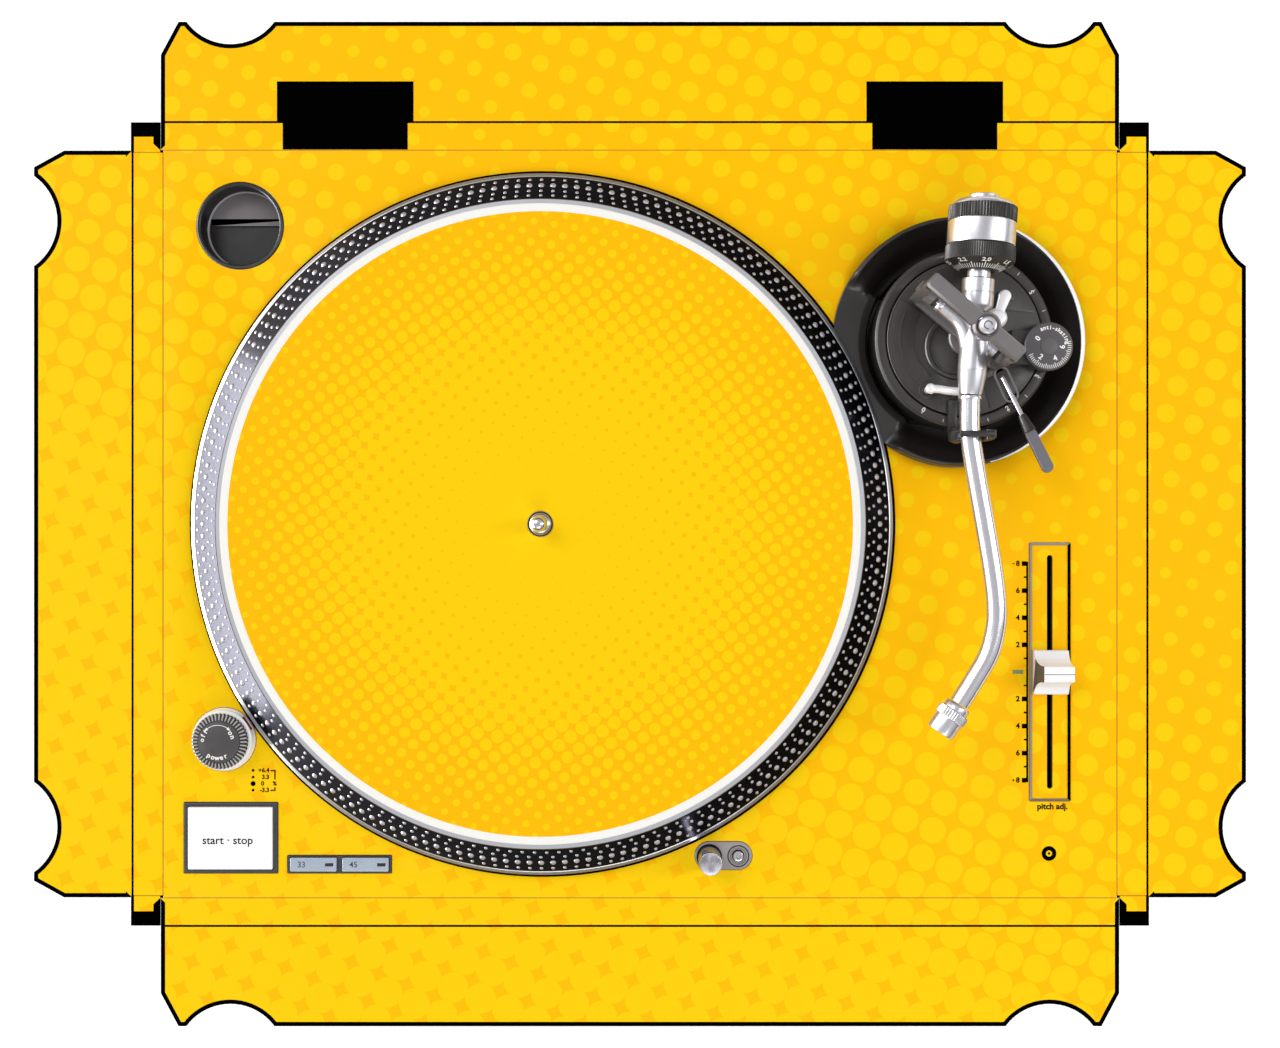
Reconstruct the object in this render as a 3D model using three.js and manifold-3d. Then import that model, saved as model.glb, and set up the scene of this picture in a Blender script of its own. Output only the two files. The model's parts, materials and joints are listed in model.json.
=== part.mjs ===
// A direct-drive turntable dressed in a printed, die-cut wrap. The wrap's deck sheet lies on the cabinet
// and its four side flaps lie flat, each on a scored hinge, ready to fold down over the plinth.
// Millimetres, +Z up. The origin is the middle of the footprint, on the surface that the feet stand on.
import * as THREE from "three";
import { mergeVertices } from "three/addons/utils/BufferGeometryUtils.js";
import Module from "manifold-3d";

const wasm = await Module();
wasm.setup();

// ---- Driving dimensions ----
const GAP = 0.3; // between two pieces that would otherwise touch
const THROUGH = 1; // how far a cutting tool runs past the face that it opens

const PLINTH_WIDTH = 453;
const PLINTH_DEPTH = 352.7;
const PLINTH_CORNER = 3;
const FOOT_HEIGHT = 30;
const BASE_HEIGHT = 48.6;
const CABINET_HEIGHT = 14.2;
const SHEET_THICKNESS = 0.8;
const HALF_WIDTH = PLINTH_WIDTH / 2;
const HALF_DEPTH = PLINTH_DEPTH / 2;

const BASE_Z = FOOT_HEIGHT;
const CABINET_Z = BASE_Z + BASE_HEIGHT;
const METAL_TOP_Z = CABINET_Z + CABINET_HEIGHT;
const SHEET_Z = METAL_TOP_Z + GAP;
const DECK_Z = SHEET_Z + SHEET_THICKNESS; // the deck's printed face: heights on the deck count from here
const METAL_TOP = METAL_TOP_Z - DECK_Z;
const SEAT = METAL_TOP + GAP; // underside of what is set into the sheet and rests on the metal deck
const DECK_PLATE = 5; // thickness of the cabinet's deck

const BASE_WALL = 11;
const BASE_FLOOR = 6;
const CABINET_WALL = 6;
const FOOT = { x: 194.6, y: 146, radius: 25, stud: 4.5, studTop: 44 };
const ARCH_DEPTH = 7; // how far the foot arches go into the base's sides

const PLATTER = { x: -46.3, y: 0, radius: 166, matRadius: 149 };
const PIVOT = { x: 150.5, y: 86 };
const ARM_AXIS = 38.5; // height of the arm tube's axis above the deck
const YOKE_ANGLE = -40.5;
const DISH_RADIUS = 58.9;

const WELL = { x: -190.1, y: 141.8, radius: 20.6, depth: 12 };
const STROBE = { x: -197.6, y: -102.3, radius: 15 };
const START_STOP = { x: -194.4, y: -149.1, width: 44.5, depth: 33.5 };
const SPEED = { x: -142.8, y: -161.7, width: 49.3, depth: 8.3 };
const SPEED_BUTTON = { width: 22, depth: 6.5, x33: -155, x45: -130.3 };
const LAMP_PLATE = { x: 39.7, y: -157.6, width: 27, depth: 13.2 };
const LAMP = { x: 32.9, y: -158.1, radius: 5.4, height: 16 };
const LAMP_BUTTON = { x: 46.7, y: -157.8, radius: 2.5, recess: 5.25 };
const FADER = { x: 194.8, y: -70.3, width: 19.3, depth: 122.6, slot: 2.7, slotLength: 111.1 };

// The wrap's flaps. "out" is measured from the plinth's side, "along" from the middle of that side.
const SIDE_HINGE = 0.4; // hinge line of the left and right flaps, outside the plinth
const END_HINGE = 1.5; // hinge line of the front and back flaps, which fold over the corner tabs
const HINGE_SLACK = 0.05;
const LONG_FLAP = {
  hinge: END_HINGE, half: HALF_WIDTH + 1.3, straight: 46.7, out: 62.4, inset: 8.4,
  notchAt: HALF_WIDTH - 31.8, notchChord: 41.8, notchDepth: 10.6,
};
const SHORT_FLAP = {
  hinge: SIDE_HINGE, half: HALF_DEPTH + 1.15, straight: 47.3, out: 61.6, inset: 7.9,
  notchAt: HALF_DEPTH - 32.3, notchChord: 42.9, notchDepth: 11.1,
};
const TAB = { inner: HALF_WIDTH + 1.6, outer: HALF_WIDTH + 15.5, hinge: HALF_DEPTH + 0.4, length: 14.2 };

// ---- Finishes ----
function finish(color, roughness, metalness) {
  return new THREE.MeshStandardMaterial({ color, roughness, metalness });
}
const FINISH = {
  print: finish(0xffc006, 0.45, 0),
  castAluminium: finish(0xb9bbc0, 0.4, 0.9),
  rubber: finish(0x1c1c1e, 0.85, 0),
  blackPlastic: finish(0x34302d, 0.45, 0),
  greyPlastic: finish(0x5d5a5b, 0.5, 0),
  felt: finish(0xf4f1e6, 0.95, 0),
  polished: finish(0xe6e6ec, 0.15, 1),
  satin: finish(0xcdcdd9, 0.3, 1),
  white: finish(0xf2f2f0, 0.4, 0),
  paleKey: finish(0xafbbcb, 0.35, 0.3),
  steel: finish(0x8f9194, 0.5, 0.8),
  copper: finish(0xa5633a, 0.4, 0.7),
  board: finish(0x2f5d3a, 0.6, 0),
  redLens: finish(0xb01818, 0.2, 0),
};

// ---- Solids ----
function toSolid(geometry) {
  const bare = geometry.clone();
  bare.deleteAttribute("normal");
  bare.deleteAttribute("uv");
  const merged = mergeVertices(bare, 1e-3);
  const vertProperties = merged.attributes.position.array;
  const triVerts = new Uint32Array(merged.index.array);
  const made = new wasm.Manifold(new wasm.Mesh({ numProp: 3, vertProperties, triVerts }));
  if (made.volume() >= 0) return made;
  return new wasm.Manifold(new wasm.Mesh({ numProp: 3, vertProperties, triVerts: triVerts.reverse() }));
}

function toGeometry(solid) {
  const mesh = solid.getMesh();
  const geometry = new THREE.BufferGeometry();
  geometry.setAttribute("position", new THREE.BufferAttribute(mesh.vertProperties, 3));
  geometry.setIndex(new THREE.BufferAttribute(mesh.triVerts, 1));
  geometry.computeVertexNormals();
  return geometry;
}

function block([x0, x1], [y0, y1], [z0, z1]) {
  const geometry = new THREE.BoxGeometry(x1 - x0, y1 - y0, z1 - z0);
  geometry.translate((x0 + x1) / 2, (y0 + y1) / 2, (z0 + z1) / 2);
  return toSolid(geometry);
}

// A profile of [radius, distance along the axis] points turned about a line.
function turned(profile, { at = [0, 0, 0], along = [0, 0, 1], sides = 32 } = {}) {
  const points = profile.map(([radius, distance]) => new THREE.Vector2(radius, distance));
  const onAxis = profile[0][0] === 0 && profile[profile.length - 1][0] === 0;
  if (!onAxis) points.push(points[0].clone());
  const geometry = new THREE.LatheGeometry(points, sides);
  const direction = new THREE.Vector3(...along).normalize();
  const turn = new THREE.Quaternion().setFromUnitVectors(new THREE.Vector3(0, 1, 0), direction);
  geometry.applyQuaternion(turn);
  geometry.translate(...at);
  return toSolid(geometry);
}

function rod(radius, z0, z1, x = 0, y = 0, sides = 32) {
  return turned([[0, z0], [radius, z0], [radius, z1], [0, z1]], { at: [x, y, 0], sides });
}

function rodBetween(start, end, radius, sides = 16) {
  const along = end.map((value, axis) => value - start[axis]);
  const length = Math.hypot(...along);
  return turned([[0, 0], [radius, 0], [radius, length], [0, length]], { at: start, along, sides });
}

function prism(shape, z0, z1, curveSegments = 4) {
  const geometry = new THREE.ExtrudeGeometry(shape, { depth: z1 - z0, bevelEnabled: false, curveSegments });
  geometry.translate(0, 0, z0);
  return toSolid(geometry);
}

function roundedRectangle(width, depth, radius, x = 0, y = 0) {
  const right = width / 2;
  const top = depth / 2;
  const shape = new THREE.Shape();
  shape.absarc(x + right - radius, y - top + radius, radius, -Math.PI / 2, 0);
  shape.absarc(x + right - radius, y + top - radius, radius, 0, Math.PI / 2);
  shape.absarc(x - right + radius, y + top - radius, radius, Math.PI / 2, Math.PI);
  shape.absarc(x - right + radius, y - top + radius, radius, Math.PI, 1.5 * Math.PI);
  return shape;
}

function joined(first, ...others) {
  return others.reduce((whole, next) => whole.add(next), first);
}

function cut(whole, ...tools) {
  return tools.reduce((left, tool) => left.subtract(tool), whole);
}

function add(group, name, solid, material) {
  const mesh = new THREE.Mesh(toGeometry(solid), material);
  mesh.name = name;
  group.add(mesh);
}

function groupAt(parent, x, y, z) {
  const group = new THREE.Group();
  group.position.set(x, y, z);
  parent.add(group);
  return group;
}

const CORNERS = [[-1, -1], [1, -1], [-1, 1], [1, 1]];
const turntable = new THREE.Group();

// ---- Plinth: rubber base, metal cabinet, feet and what the plinth holds ----
const HINGE_SOCKET = { x: 140.1, narrow: 29.7, wide: 32.45, bottom: 58.6, depth: 10 };
const REAR_BAY = { x: 130, half: 22, depth: 26, height: 22 };

function hingeSocketSolid(side, spare) {
  const { x, narrow, wide, bottom, depth } = HINGE_SOCKET;
  const back = [HALF_DEPTH - depth - spare, HALF_DEPTH + (spare > 0 ? THROUGH : 0)];
  const top = METAL_TOP_Z + (spare > 0 ? THROUGH : -GAP);
  const middle = side * x;
  const shoulder = CABINET_Z - GAP + spare;
  return joined(
    block([middle - narrow - spare, middle + narrow + spare], back, [bottom, top]),
    block([middle - wide - spare, middle + wide + spare], back, [bottom - spare, shoulder]),
  );
}

function footArches() {
  const { notchChord, notchDepth } = LONG_FLAP;
  const radius = (notchChord ** 2 / 4 + notchDepth ** 2) / (2 * notchDepth);
  const z = BASE_Z + notchDepth - radius;
  return CORNERS.flatMap(([sx, sy]) => {
    const x = sx * LONG_FLAP.notchAt;
    const y = sy * SHORT_FLAP.notchAt;
    const acrossX = [HALF_WIDTH - ARCH_DEPTH, HALF_WIDTH + THROUGH].map((value) => sx * value);
    const acrossY = [HALF_DEPTH - ARCH_DEPTH, HALF_DEPTH + THROUGH].map((value) => sy * value);
    return [
      rodBetween([x, acrossY[0], z], [x, acrossY[1], z], radius, 28),
      rodBetween([acrossX[0], y, z], [acrossX[1], y, z], radius, 28),
    ];
  });
}

function studHoles(z0, z1) {
  const radius = FOOT.stud + 0.7;
  return CORNERS.map(([sx, sy]) => rod(radius, z0, z1, sx * FOOT.x, sy * FOOT.y, 16));
}

function rearBay(side) {
  const middle = side * REAR_BAY.x;
  const across = [middle - REAR_BAY.half, middle + REAR_BAY.half];
  const back = [HALF_DEPTH - REAR_BAY.depth, HALF_DEPTH + THROUGH];
  return block(across, back, [BASE_Z - THROUGH, BASE_Z + REAR_BAY.height]);
}

function makeBase() {
  const outer = prism(roundedRectangle(PLINTH_WIDTH, PLINTH_DEPTH, PLINTH_CORNER), BASE_Z, CABINET_Z);
  const innerWidth = PLINTH_WIDTH - 2 * BASE_WALL;
  const innerDepth = PLINTH_DEPTH - 2 * BASE_WALL;
  const hollow = prism(roundedRectangle(innerWidth, innerDepth, 4), BASE_Z + BASE_FLOOR, CABINET_Z + THROUGH);
  const bayShell = [-1, 1].map((side) => {
    const middle = side * REAR_BAY.x;
    const across = [middle - REAR_BAY.half - 3, middle + REAR_BAY.half + 3];
    const back = [HALF_DEPTH - REAR_BAY.depth - 3, HALF_DEPTH - 1];
    return block(across, back, [BASE_Z, BASE_Z + REAR_BAY.height + 3]);
  });
  const tub = joined(cut(outer, hollow), ...bayShell);
  const bays = [-1, 1].map(rearBay);
  const sockets = [-1, 1].map((side) => hingeSocketSolid(side, GAP));
  return cut(tub, ...bays, ...sockets, ...footArches(), ...studHoles(BASE_Z - THROUGH, BASE_Z + BASE_FLOOR + THROUGH));
}

function makeCabinet() {
  const low = CABINET_Z + GAP;
  const outer = prism(roundedRectangle(PLINTH_WIDTH, PLINTH_DEPTH, PLINTH_CORNER), low, METAL_TOP_Z);
  const innerWidth = PLINTH_WIDTH - 2 * CABINET_WALL;
  const innerDepth = PLINTH_DEPTH - 2 * CABINET_WALL;
  const deckUnderside = METAL_TOP_Z - DECK_PLATE;
  const hollow = prism(roundedRectangle(innerWidth, innerDepth, 4), low - THROUGH, deckUnderside);
  const z = [deckUnderside - THROUGH, METAL_TOP_Z + THROUGH];
  const holes = [
    rod(54.6, ...z, PLATTER.x, PLATTER.y, 32),
    rod(50.4, ...z, PIVOT.x, PIVOT.y, 32),
    rod(WELL.radius - 0.4, ...z, WELL.x, WELL.y, 24),
    rod(13.6, ...z, STROBE.x, STROBE.y, 20),
    rod(LAMP.radius + 0.6, ...z, LAMP.x, LAMP.y, 20),
    rod(3.2, ...z, LAMP_BUTTON.x, LAMP_BUTTON.y, 12),
    prism(roundedRectangle(41.4, 30.9, 1, START_STOP.x, START_STOP.y), ...z, 2),
    prism(roundedRectangle(47.6, 7.7, 0.6, SPEED.x, SPEED.y), ...z, 2),
    prism(roundedRectangle(4, 113, 1.5, FADER.x, FADER.y), ...z, 2),
  ];
  const sockets = [-1, 1].map((side) => hingeSocketSolid(side, GAP));
  return cut(outer, hollow, ...holes, ...sockets);
}

function makeHingeSocket(side) {
  const middle = side * HINGE_SOCKET.x;
  const mouth = block([middle - 20, middle + 20], [HALF_DEPTH - 7, HALF_DEPTH + THROUGH], [80, 88]);
  return cut(hingeSocketSolid(side, 0), mouth);
}

function makeTerminalPanel() {
  const { x, half, depth, height } = REAR_BAY;
  const top = BASE_Z + height - GAP;
  const y = HALF_DEPTH - depth / 2;
  const plate = block([x - half + 1, x + half - 1], [HALF_DEPTH - depth + 1, HALF_DEPTH - 4], [top - 3, top]);
  const sockets = [-10, 2].map((offset) =>
    turned([[2, top - 2], [4.2, top - 2], [4.2, top - 12], [2, top - 12]], { at: [x + offset, y, 0], sides: 16 }),
  );
  return joined(plate, ...sockets, rod(2.4, top - 10, top - 2, x + 13, y, 12));
}

function makePowerInlet() {
  const { x, half, depth, height } = REAR_BAY;
  const top = BASE_Z + height - GAP;
  const y = HALF_DEPTH - depth / 2;
  const plate = block([-x - half + 1, -x + half - 1], [HALF_DEPTH - depth + 1, HALF_DEPTH - 4], [top - 3, top]);
  const shroud = block([-x - 12, -x + 12], [y - 8, y + 8], [top - 15, top - 2]);
  const mouth = block([-x - 10, -x + 10], [y - 6, y + 6], [top - 16, top - 4]);
  return joined(plate, cut(shroud, mouth));
}

function makeMainBoard() {
  const plate = block([-30, 130], [-140, -70], [46, 47.6]);
  const posts = [[-24, -134], [124, -134], [-24, -76], [124, -76]].map(([x, y]) => rod(3, 38.4, 46.4, x, y, 12));
  const parts = [
    block([0, 26], [-118, -104], [47, 52]),
    block([44, 60], [-96, -80], [47, 51]),
    rod(6, 47, 60, 90, -112, 16),
    rod(6, 47, 60, 106, -112, 16),
  ];
  return joined(plate, ...posts, ...parts);
}

function makeTransformer() {
  const core = block([-190, -126], [-30, 22], [38.4, 72]);
  const winding = block([-182, -134], [-36, 28], [44, 68]);
  return joined(core, winding);
}

function footSolid() {
  const { radius, stud, studTop } = FOOT;
  const profile = [
    [0, 0], [radius - 2.5, 0], [radius, 2.5], [radius, 19], [radius - 2, 21], [radius - 2, 27],
    [radius - 5, FOOT_HEIGHT - GAP], [stud, FOOT_HEIGHT - GAP], [stud, studTop], [0, studTop],
  ];
  return turned(profile, { sides: 18 });
}

const plinth = groupAt(turntable, 0, 0, 0);
add(plinth, "rubber_base", makeBase(), FINISH.rubber);
add(plinth, "cabinet", makeCabinet(), FINISH.castAluminium);
const bottomPlate = prism(roundedRectangle(429, 270, 4, 0, -20), 36.3, 38.1, 2);
add(plinth, "bottom_plate", cut(bottomPlate, ...studHoles(35, 39).slice(0, 2)), FINISH.steel);
add(plinth, "hinge_socket_left", makeHingeSocket(-1), FINISH.blackPlastic);
add(plinth, "hinge_socket_right", makeHingeSocket(1), FINISH.blackPlastic);
add(plinth, "terminal_panel", makeTerminalPanel(), FINISH.blackPlastic);
add(plinth, "power_inlet", makePowerInlet(), FINISH.blackPlastic);
add(plinth, "main_board", makeMainBoard(), FINISH.board);
add(plinth, "power_transformer", makeTransformer(), FINISH.copper);

const FOOT_NAMES = ["foot_front_left", "foot_front_right", "foot_back_left", "foot_back_right"];
CORNERS.forEach(([sx, sy], index) => {
  const corner = groupAt(plinth, sx * FOOT.x, sy * FOOT.y, 0);
  add(corner, FOOT_NAMES[index], footSolid(), FINISH.rubber);
});

// ---- The wrap: deck sheet, four flaps, four corner tabs ----
const wrap = groupAt(turntable, 0, 0, SHEET_Z);

function makeDeckSheet() {
  const z = [-THROUGH, SHEET_THICKNESS + THROUGH];
  const edge = HALF_DEPTH + END_HINGE - 0.35;
  const sheet = block([-HALF_WIDTH, HALF_WIDTH], [-edge, edge], [0, SHEET_THICKNESS]);
  const rectangle = ({ x, y, width, depth }, radius) =>
    prism(roundedRectangle(width + 2 * GAP, depth + 2 * GAP, radius, x, y), ...z, 3);
  return cut(
    sheet,
    rod(100, ...z, PLATTER.x, PLATTER.y, 32),
    rod(DISH_RADIUS + GAP, ...z, PIVOT.x, PIVOT.y, 36),
    rod(WELL.radius + GAP, ...z, WELL.x, WELL.y, 24),
    rod(STROBE.radius + GAP, ...z, STROBE.x, STROBE.y, 24),
    rectangle(START_STOP, 1.5),
    rectangle(SPEED, 0.9),
    rectangle(FADER, 1),
    prism(roundedRectangle(LAMP_PLATE.width + 0.6, LAMP_PLATE.depth + 0.6, 6.85, LAMP_PLATE.x, LAMP_PLATE.y), ...z, 4),
  );
}

// Half of a flap's outer edge, from its straight side to the far side of its foot notch.
function flapEdge(shape, flap, side) {
  const { half, straight, out, inset, notchAt, notchChord, notchDepth } = flap;
  const radius = (notchChord ** 2 / 4 + notchDepth ** 2) / (2 * notchDepth);
  const reach = Math.asin(notchChord / 2 / radius);
  const centre = out - notchDepth + radius;
  if (side > 0) {
    shape.lineTo(half, straight);
    shape.lineTo(half - inset, out);
    shape.absarc(notchAt, centre, radius, -Math.PI / 2 + reach, -Math.PI / 2 - reach, true);
  } else {
    shape.absarc(-notchAt, centre, radius, -Math.PI / 2 + reach, -Math.PI / 2 - reach, true);
    shape.lineTo(-half + inset, out);
    shape.lineTo(-half, straight);
  }
}

function flapSolid(flap, shoulder) {
  const inner = flap.hinge + HINGE_SLACK;
  const ends = shoulder ? flap.half - shoulder.inset : flap.half;
  const shape = new THREE.Shape();
  shape.moveTo(-ends, inner);
  shape.lineTo(ends, inner);
  if (shoulder) {
    shape.lineTo(ends, shoulder.out);
    shape.lineTo(flap.half, shoulder.out);
  }
  flapEdge(shape, flap, 1);
  flapEdge(shape, flap, -1);
  if (shoulder) {
    shape.lineTo(-flap.half, shoulder.out);
    shape.lineTo(-ends, shoulder.out);
  }
  return prism(shape, 0, SHEET_THICKNESS, 7);
}

// Each flap is drawn pointing to +Y and turned to its own side of the plinth.
function addFlap(name, flap, edge, angle, shoulder) {
  const arm = new THREE.Group();
  arm.rotation.z = THREE.MathUtils.degToRad(angle);
  const side = groupAt(arm, 0, edge, 0);
  wrap.add(arm);
  add(side, name, flapSolid(flap, shoulder), FINISH.print);
}

const TAB_SHOULDER = { inset: 1.35, out: TAB.outer - HALF_WIDTH + GAP };
add(wrap, "deck_sheet", makeDeckSheet(), FINISH.print);
addFlap("flap_back", LONG_FLAP, HALF_DEPTH, 0);
addFlap("flap_front", LONG_FLAP, HALF_DEPTH, 180);
addFlap("flap_left", SHORT_FLAP, HALF_WIDTH, 90, TAB_SHOULDER);
addFlap("flap_right", SHORT_FLAP, HALF_WIDTH, -90, TAB_SHOULDER);

const TAB_NAMES = ["tab_front_left", "tab_front_right", "tab_back_left", "tab_back_right"];
CORNERS.forEach(([sx, sy], index) => {
  const across = [sx * TAB.inner, sx * TAB.outer].sort((a, b) => a - b);
  const along = [sy * (TAB.hinge + 0.1), sy * (TAB.hinge + TAB.length)].sort((a, b) => a - b);
  add(wrap, TAB_NAMES[index], block(across, along, [0, SHEET_THICKNESS]), FINISH.print);
});

// ---- Deck: everything below is placed on the printed face ----
const deck = groupAt(turntable, 0, 0, DECK_Z);

function makeAdapterWell() {
  const { radius, depth } = WELL;
  const profile = [
    [0, -depth - 2.2], [radius - 1, -depth - 2.2], [radius - 1, SEAT], [radius, SEAT], [radius, 0.3],
    [radius - 0.6, 0.5], [radius - 1.8, 0.3], [radius - 1.8, -depth], [0, -depth],
  ];
  const groove = block([-16, 16], [1.2, 4.5], [-depth - 1.2, -depth + THROUGH]);
  return cut(turned(profile, { sides: 24 }), groove);
}

function makeStrobeHousing() {
  const { radius } = STROBE;
  const profile = [
    [0, -12], [13, -12], [13, SEAT], [radius, SEAT], [radius, 0.8], [radius - 0.8, 1.6],
    [radius - 1.4, 5], [0, 5],
  ];
  return turned(profile, { sides: 24 });
}

function framed({ width, depth }, windows, z0, z1, radius) {
  const outer = prism(roundedRectangle(width, depth, radius), z0, z1, 3);
  const holes = windows.map(([w, d, x]) => prism(roundedRectangle(w, d, 0.6, x, 0), z0 - THROUGH, z1 + THROUGH, 2));
  return cut(outer, ...holes);
}

const well = groupAt(deck, WELL.x, WELL.y, 0);
add(well, "adapter_well", makeAdapterWell(), FINISH.blackPlastic);

const strobe = groupAt(deck, STROBE.x, STROBE.y, 0);
const LENS_ANGLE = Math.atan2(PLATTER.y - STROBE.y, PLATTER.x - STROBE.x);
const lensDirection = new THREE.Group();
lensDirection.rotation.z = LENS_ANGLE;
strobe.add(lensDirection);
const lensPocket = toSolid(new THREE.BoxGeometry(3.6, 7.6, 3).translate(14, 0, 3).rotateZ(LENS_ANGLE));
add(strobe, "strobe_housing", cut(makeStrobeHousing(), lensPocket), FINISH.satin);
add(lensDirection, "strobe_lens", block([12.5, 13.8], [-3.5, 3.5], [1.8, 4.2]), FINISH.redLens);
const powerProfile = [[0, 5.3], [12.6, 5.3], [13.25, 6], [13.25, 8.2], [12.7, 8.8], [9.9, 8.8], [9.7, 9.3], [0, 9.3]];
add(strobe, "power_knob", turned(powerProfile, { sides: 24 }), FINISH.greyPlastic);

const startStop = groupAt(deck, START_STOP.x, START_STOP.y, 0);
add(startStop, "start_stop_bezel", framed(START_STOP, [[40.6, 30.1, 0]], SEAT, 0.6, 1.2), FINISH.blackPlastic);
add(startStop, "start_stop_button", prism(roundedRectangle(40, 29.5, 1), -8, 1.8, 3), FINISH.white);

const speed = groupAt(deck, SPEED.x, SPEED.y, 0);
const speedWindows = [SPEED_BUTTON.x33, SPEED_BUTTON.x45].map((x) => [22.6, 7.1, x - SPEED.x]);
add(speed, "speed_bezel", framed(SPEED, speedWindows, SEAT, 0.6, 0.7), FINISH.blackPlastic);
[["button_33", SPEED_BUTTON.x33], ["button_45", SPEED_BUTTON.x45]].forEach(([name, x]) => {
  const key = prism(roundedRectangle(SPEED_BUTTON.width, SPEED_BUTTON.depth, 0.5, x - SPEED.x, 0), -8, 1.5, 2);
  add(speed, name, key, FINISH.paleKey);
});

function makeLampPlate() {
  const { x, y, width, depth } = LAMP_PLATE;
  const plate = prism(roundedRectangle(width, depth, depth / 2 - 0.01), SEAT, 0.5, 5);
  const lampHole = rod(LAMP.radius + 0.6, -3, 3, LAMP.x - x, LAMP.y - y, 20);
  const recess = rod(LAMP_BUTTON.recess, -0.3, 3, LAMP_BUTTON.x - x, LAMP_BUTTON.y - y, 16);
  const buttonHole = rod(LAMP_BUTTON.radius + 0.4, -3, 3, LAMP_BUTTON.x - x, LAMP_BUTTON.y - y, 12);
  return cut(plate, lampHole, recess, buttonHole);
}

function makeTargetLamp() {
  const { radius, height } = LAMP;
  const barrel = turned(
    [[0, -34], [radius, -34], [radius, height - 0.6], [radius - 0.5, height], [0, height]],
    { sides: 20 },
  );
  const facing = Math.atan2(PLATTER.y - LAMP.y, PLATTER.x - LAMP.x);
  const eye = toSolid(new THREE.BoxGeometry(2.4, 3.6, 6).translate(radius, 0, height - 5.5).rotateZ(facing));
  return cut(barrel, eye);
}

add(groupAt(deck, LAMP_PLATE.x, LAMP_PLATE.y, 0), "lamp_plate", makeLampPlate(), FINISH.greyPlastic);
add(groupAt(deck, LAMP.x, LAMP.y, 0), "target_lamp", makeTargetLamp(), FINISH.satin);
const lampButton = turned([[0, -6], [2.5, -6], [2.5, 0.7], [1.8, 1.3], [0, 1.5]], { sides: 16 });
add(groupAt(deck, LAMP_BUTTON.x, LAMP_BUTTON.y, 0), "lamp_button", lampButton, FINISH.polished);

function makeFaderFrame() {
  const { width, depth, slot, slotLength } = FADER;
  const plate = prism(roundedRectangle(width, depth, 0.8), SEAT, 0, 3);
  const border = framed({ width, depth }, [[width - 2.2, depth - 2.2, 0]], SEAT, 0.5, 0.8);
  const track = prism(roundedRectangle(slot, slotLength, 0.6), -3, 3, 2);
  return cut(joined(plate, border), track);
}

function makePitchKnob() {
  const base = prism(roundedRectangle(16.6, 21, 1), 0.9, 3.4, 3);
  const step = prism(roundedRectangle(16, 15, 1), 3, 5, 3);
  const ridge = prism(roundedRectangle(15.8, 7.6, 1), 4.6, 13, 3);
  const stem = block([-0.9, 0.9], [-4, 4], [-9, 1.5]);
  return joined(base, step, ridge, stem);
}

function makeFaderRail() {
  const body = block([-7, 7], [-62, 62], [-22, -6.6]);
  const channel = block([-2.2, 2.2], [-58, 58], [-12, -6]);
  return cut(body, channel);
}

const fader = groupAt(deck, FADER.x, FADER.y, 0);
add(fader, "fader_frame", makeFaderFrame(), FINISH.print);
add(fader, "fader_rail", makeFaderRail(), FINISH.steel);
add(fader, "pitch_knob", makePitchKnob(), FINISH.white);

// ---- Motor and platter ----
const drive = groupAt(deck, PLATTER.x, PLATTER.y, 0);

function makePlatter() {
  const { radius } = PLATTER;
  const top = 15;
  const profile = [
    [5.7, top], [149.6, top], [164, 5], [radius, 4], [radius, 2.2], [158, 2.2], [147, 9.5],
    [12, 9.5], [12, 4], [5.7, 4],
  ];
  return turned(profile, { sides: 48 });
}

const statorProfile = [
  [10, -22], [54, -22], [54, -8.4], [62, -8.4], [62, -6.4], [52.5, -6.4], [52.5, -20], [41, -20],
  [41, 3], [10, 3],
];
const bearingProfile = [[0, -46], [9.5, -46], [9.5, 2.5], [3.35, 2.5], [3.35, -43], [0, -43]];
const spindleProfile = [
  [0, -42.6], [3, -42.6], [3, 3.2], [5.4, 3.2], [5.4, 16.2], [3.63, 16.8], [3.63, 29], [2.4, 31], [0, 31.6],
];
add(drive, "motor_stator", turned(statorProfile, { sides: 24 }), FINISH.copper);
add(drive, "spindle_bearing", turned(bearingProfile, { sides: 16 }), FINISH.satin);
add(drive, "platter", makePlatter(), FINISH.castAluminium);
add(drive, "rotor_magnet", turned([[42.2, -18], [50.5, -18], [50.5, 9.2], [42.2, 9.2]], { sides: 24 }), FINISH.steel);
add(drive, "spindle", turned(spindleProfile, { sides: 16 }), FINISH.polished);
const matProfile = [[5.8, 15.3], [PLATTER.matRadius, 15.3], [PLATTER.matRadius, 17], [5.8, 17]];
add(drive, "slipmat", turned(matProfile, { sides: 48 }), FINISH.felt);

// ---- Tonearm base ----
const arm = groupAt(deck, PIVOT.x, PIVOT.y, 0);
const RING = { inner: 36.4, outer: 41.4, top: 16.4 };
const BASE_TOP = 17;
const ANTI_SKATE = { x: 37, y: -4.5 };
const LIFTER = { x: -17.3, y: -24 };
const CUE = { x: 17.8, y: -18.1, z: 13, heading: -65.7, rise: 8 };

function makeDish() {
  const profile = [
    [42.2, -9], [49.6, -9], [49.6, SEAT], [DISH_RADIUS, SEAT], [DISH_RADIUS, 6.8], [58, 8], [56.6, 8],
    [55.4, 6.4], [50.5, 2], [47, -3], [44, -6], [42.2, -6.5],
  ];
  const platterSweep = rod(PLATTER.radius + 1.2, 1.4, 20, PLATTER.x - PIVOT.x, PLATTER.y - PIVOT.y, 48);
  return cut(turned(profile, { sides: 36 }), platterSweep);
}

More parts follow.
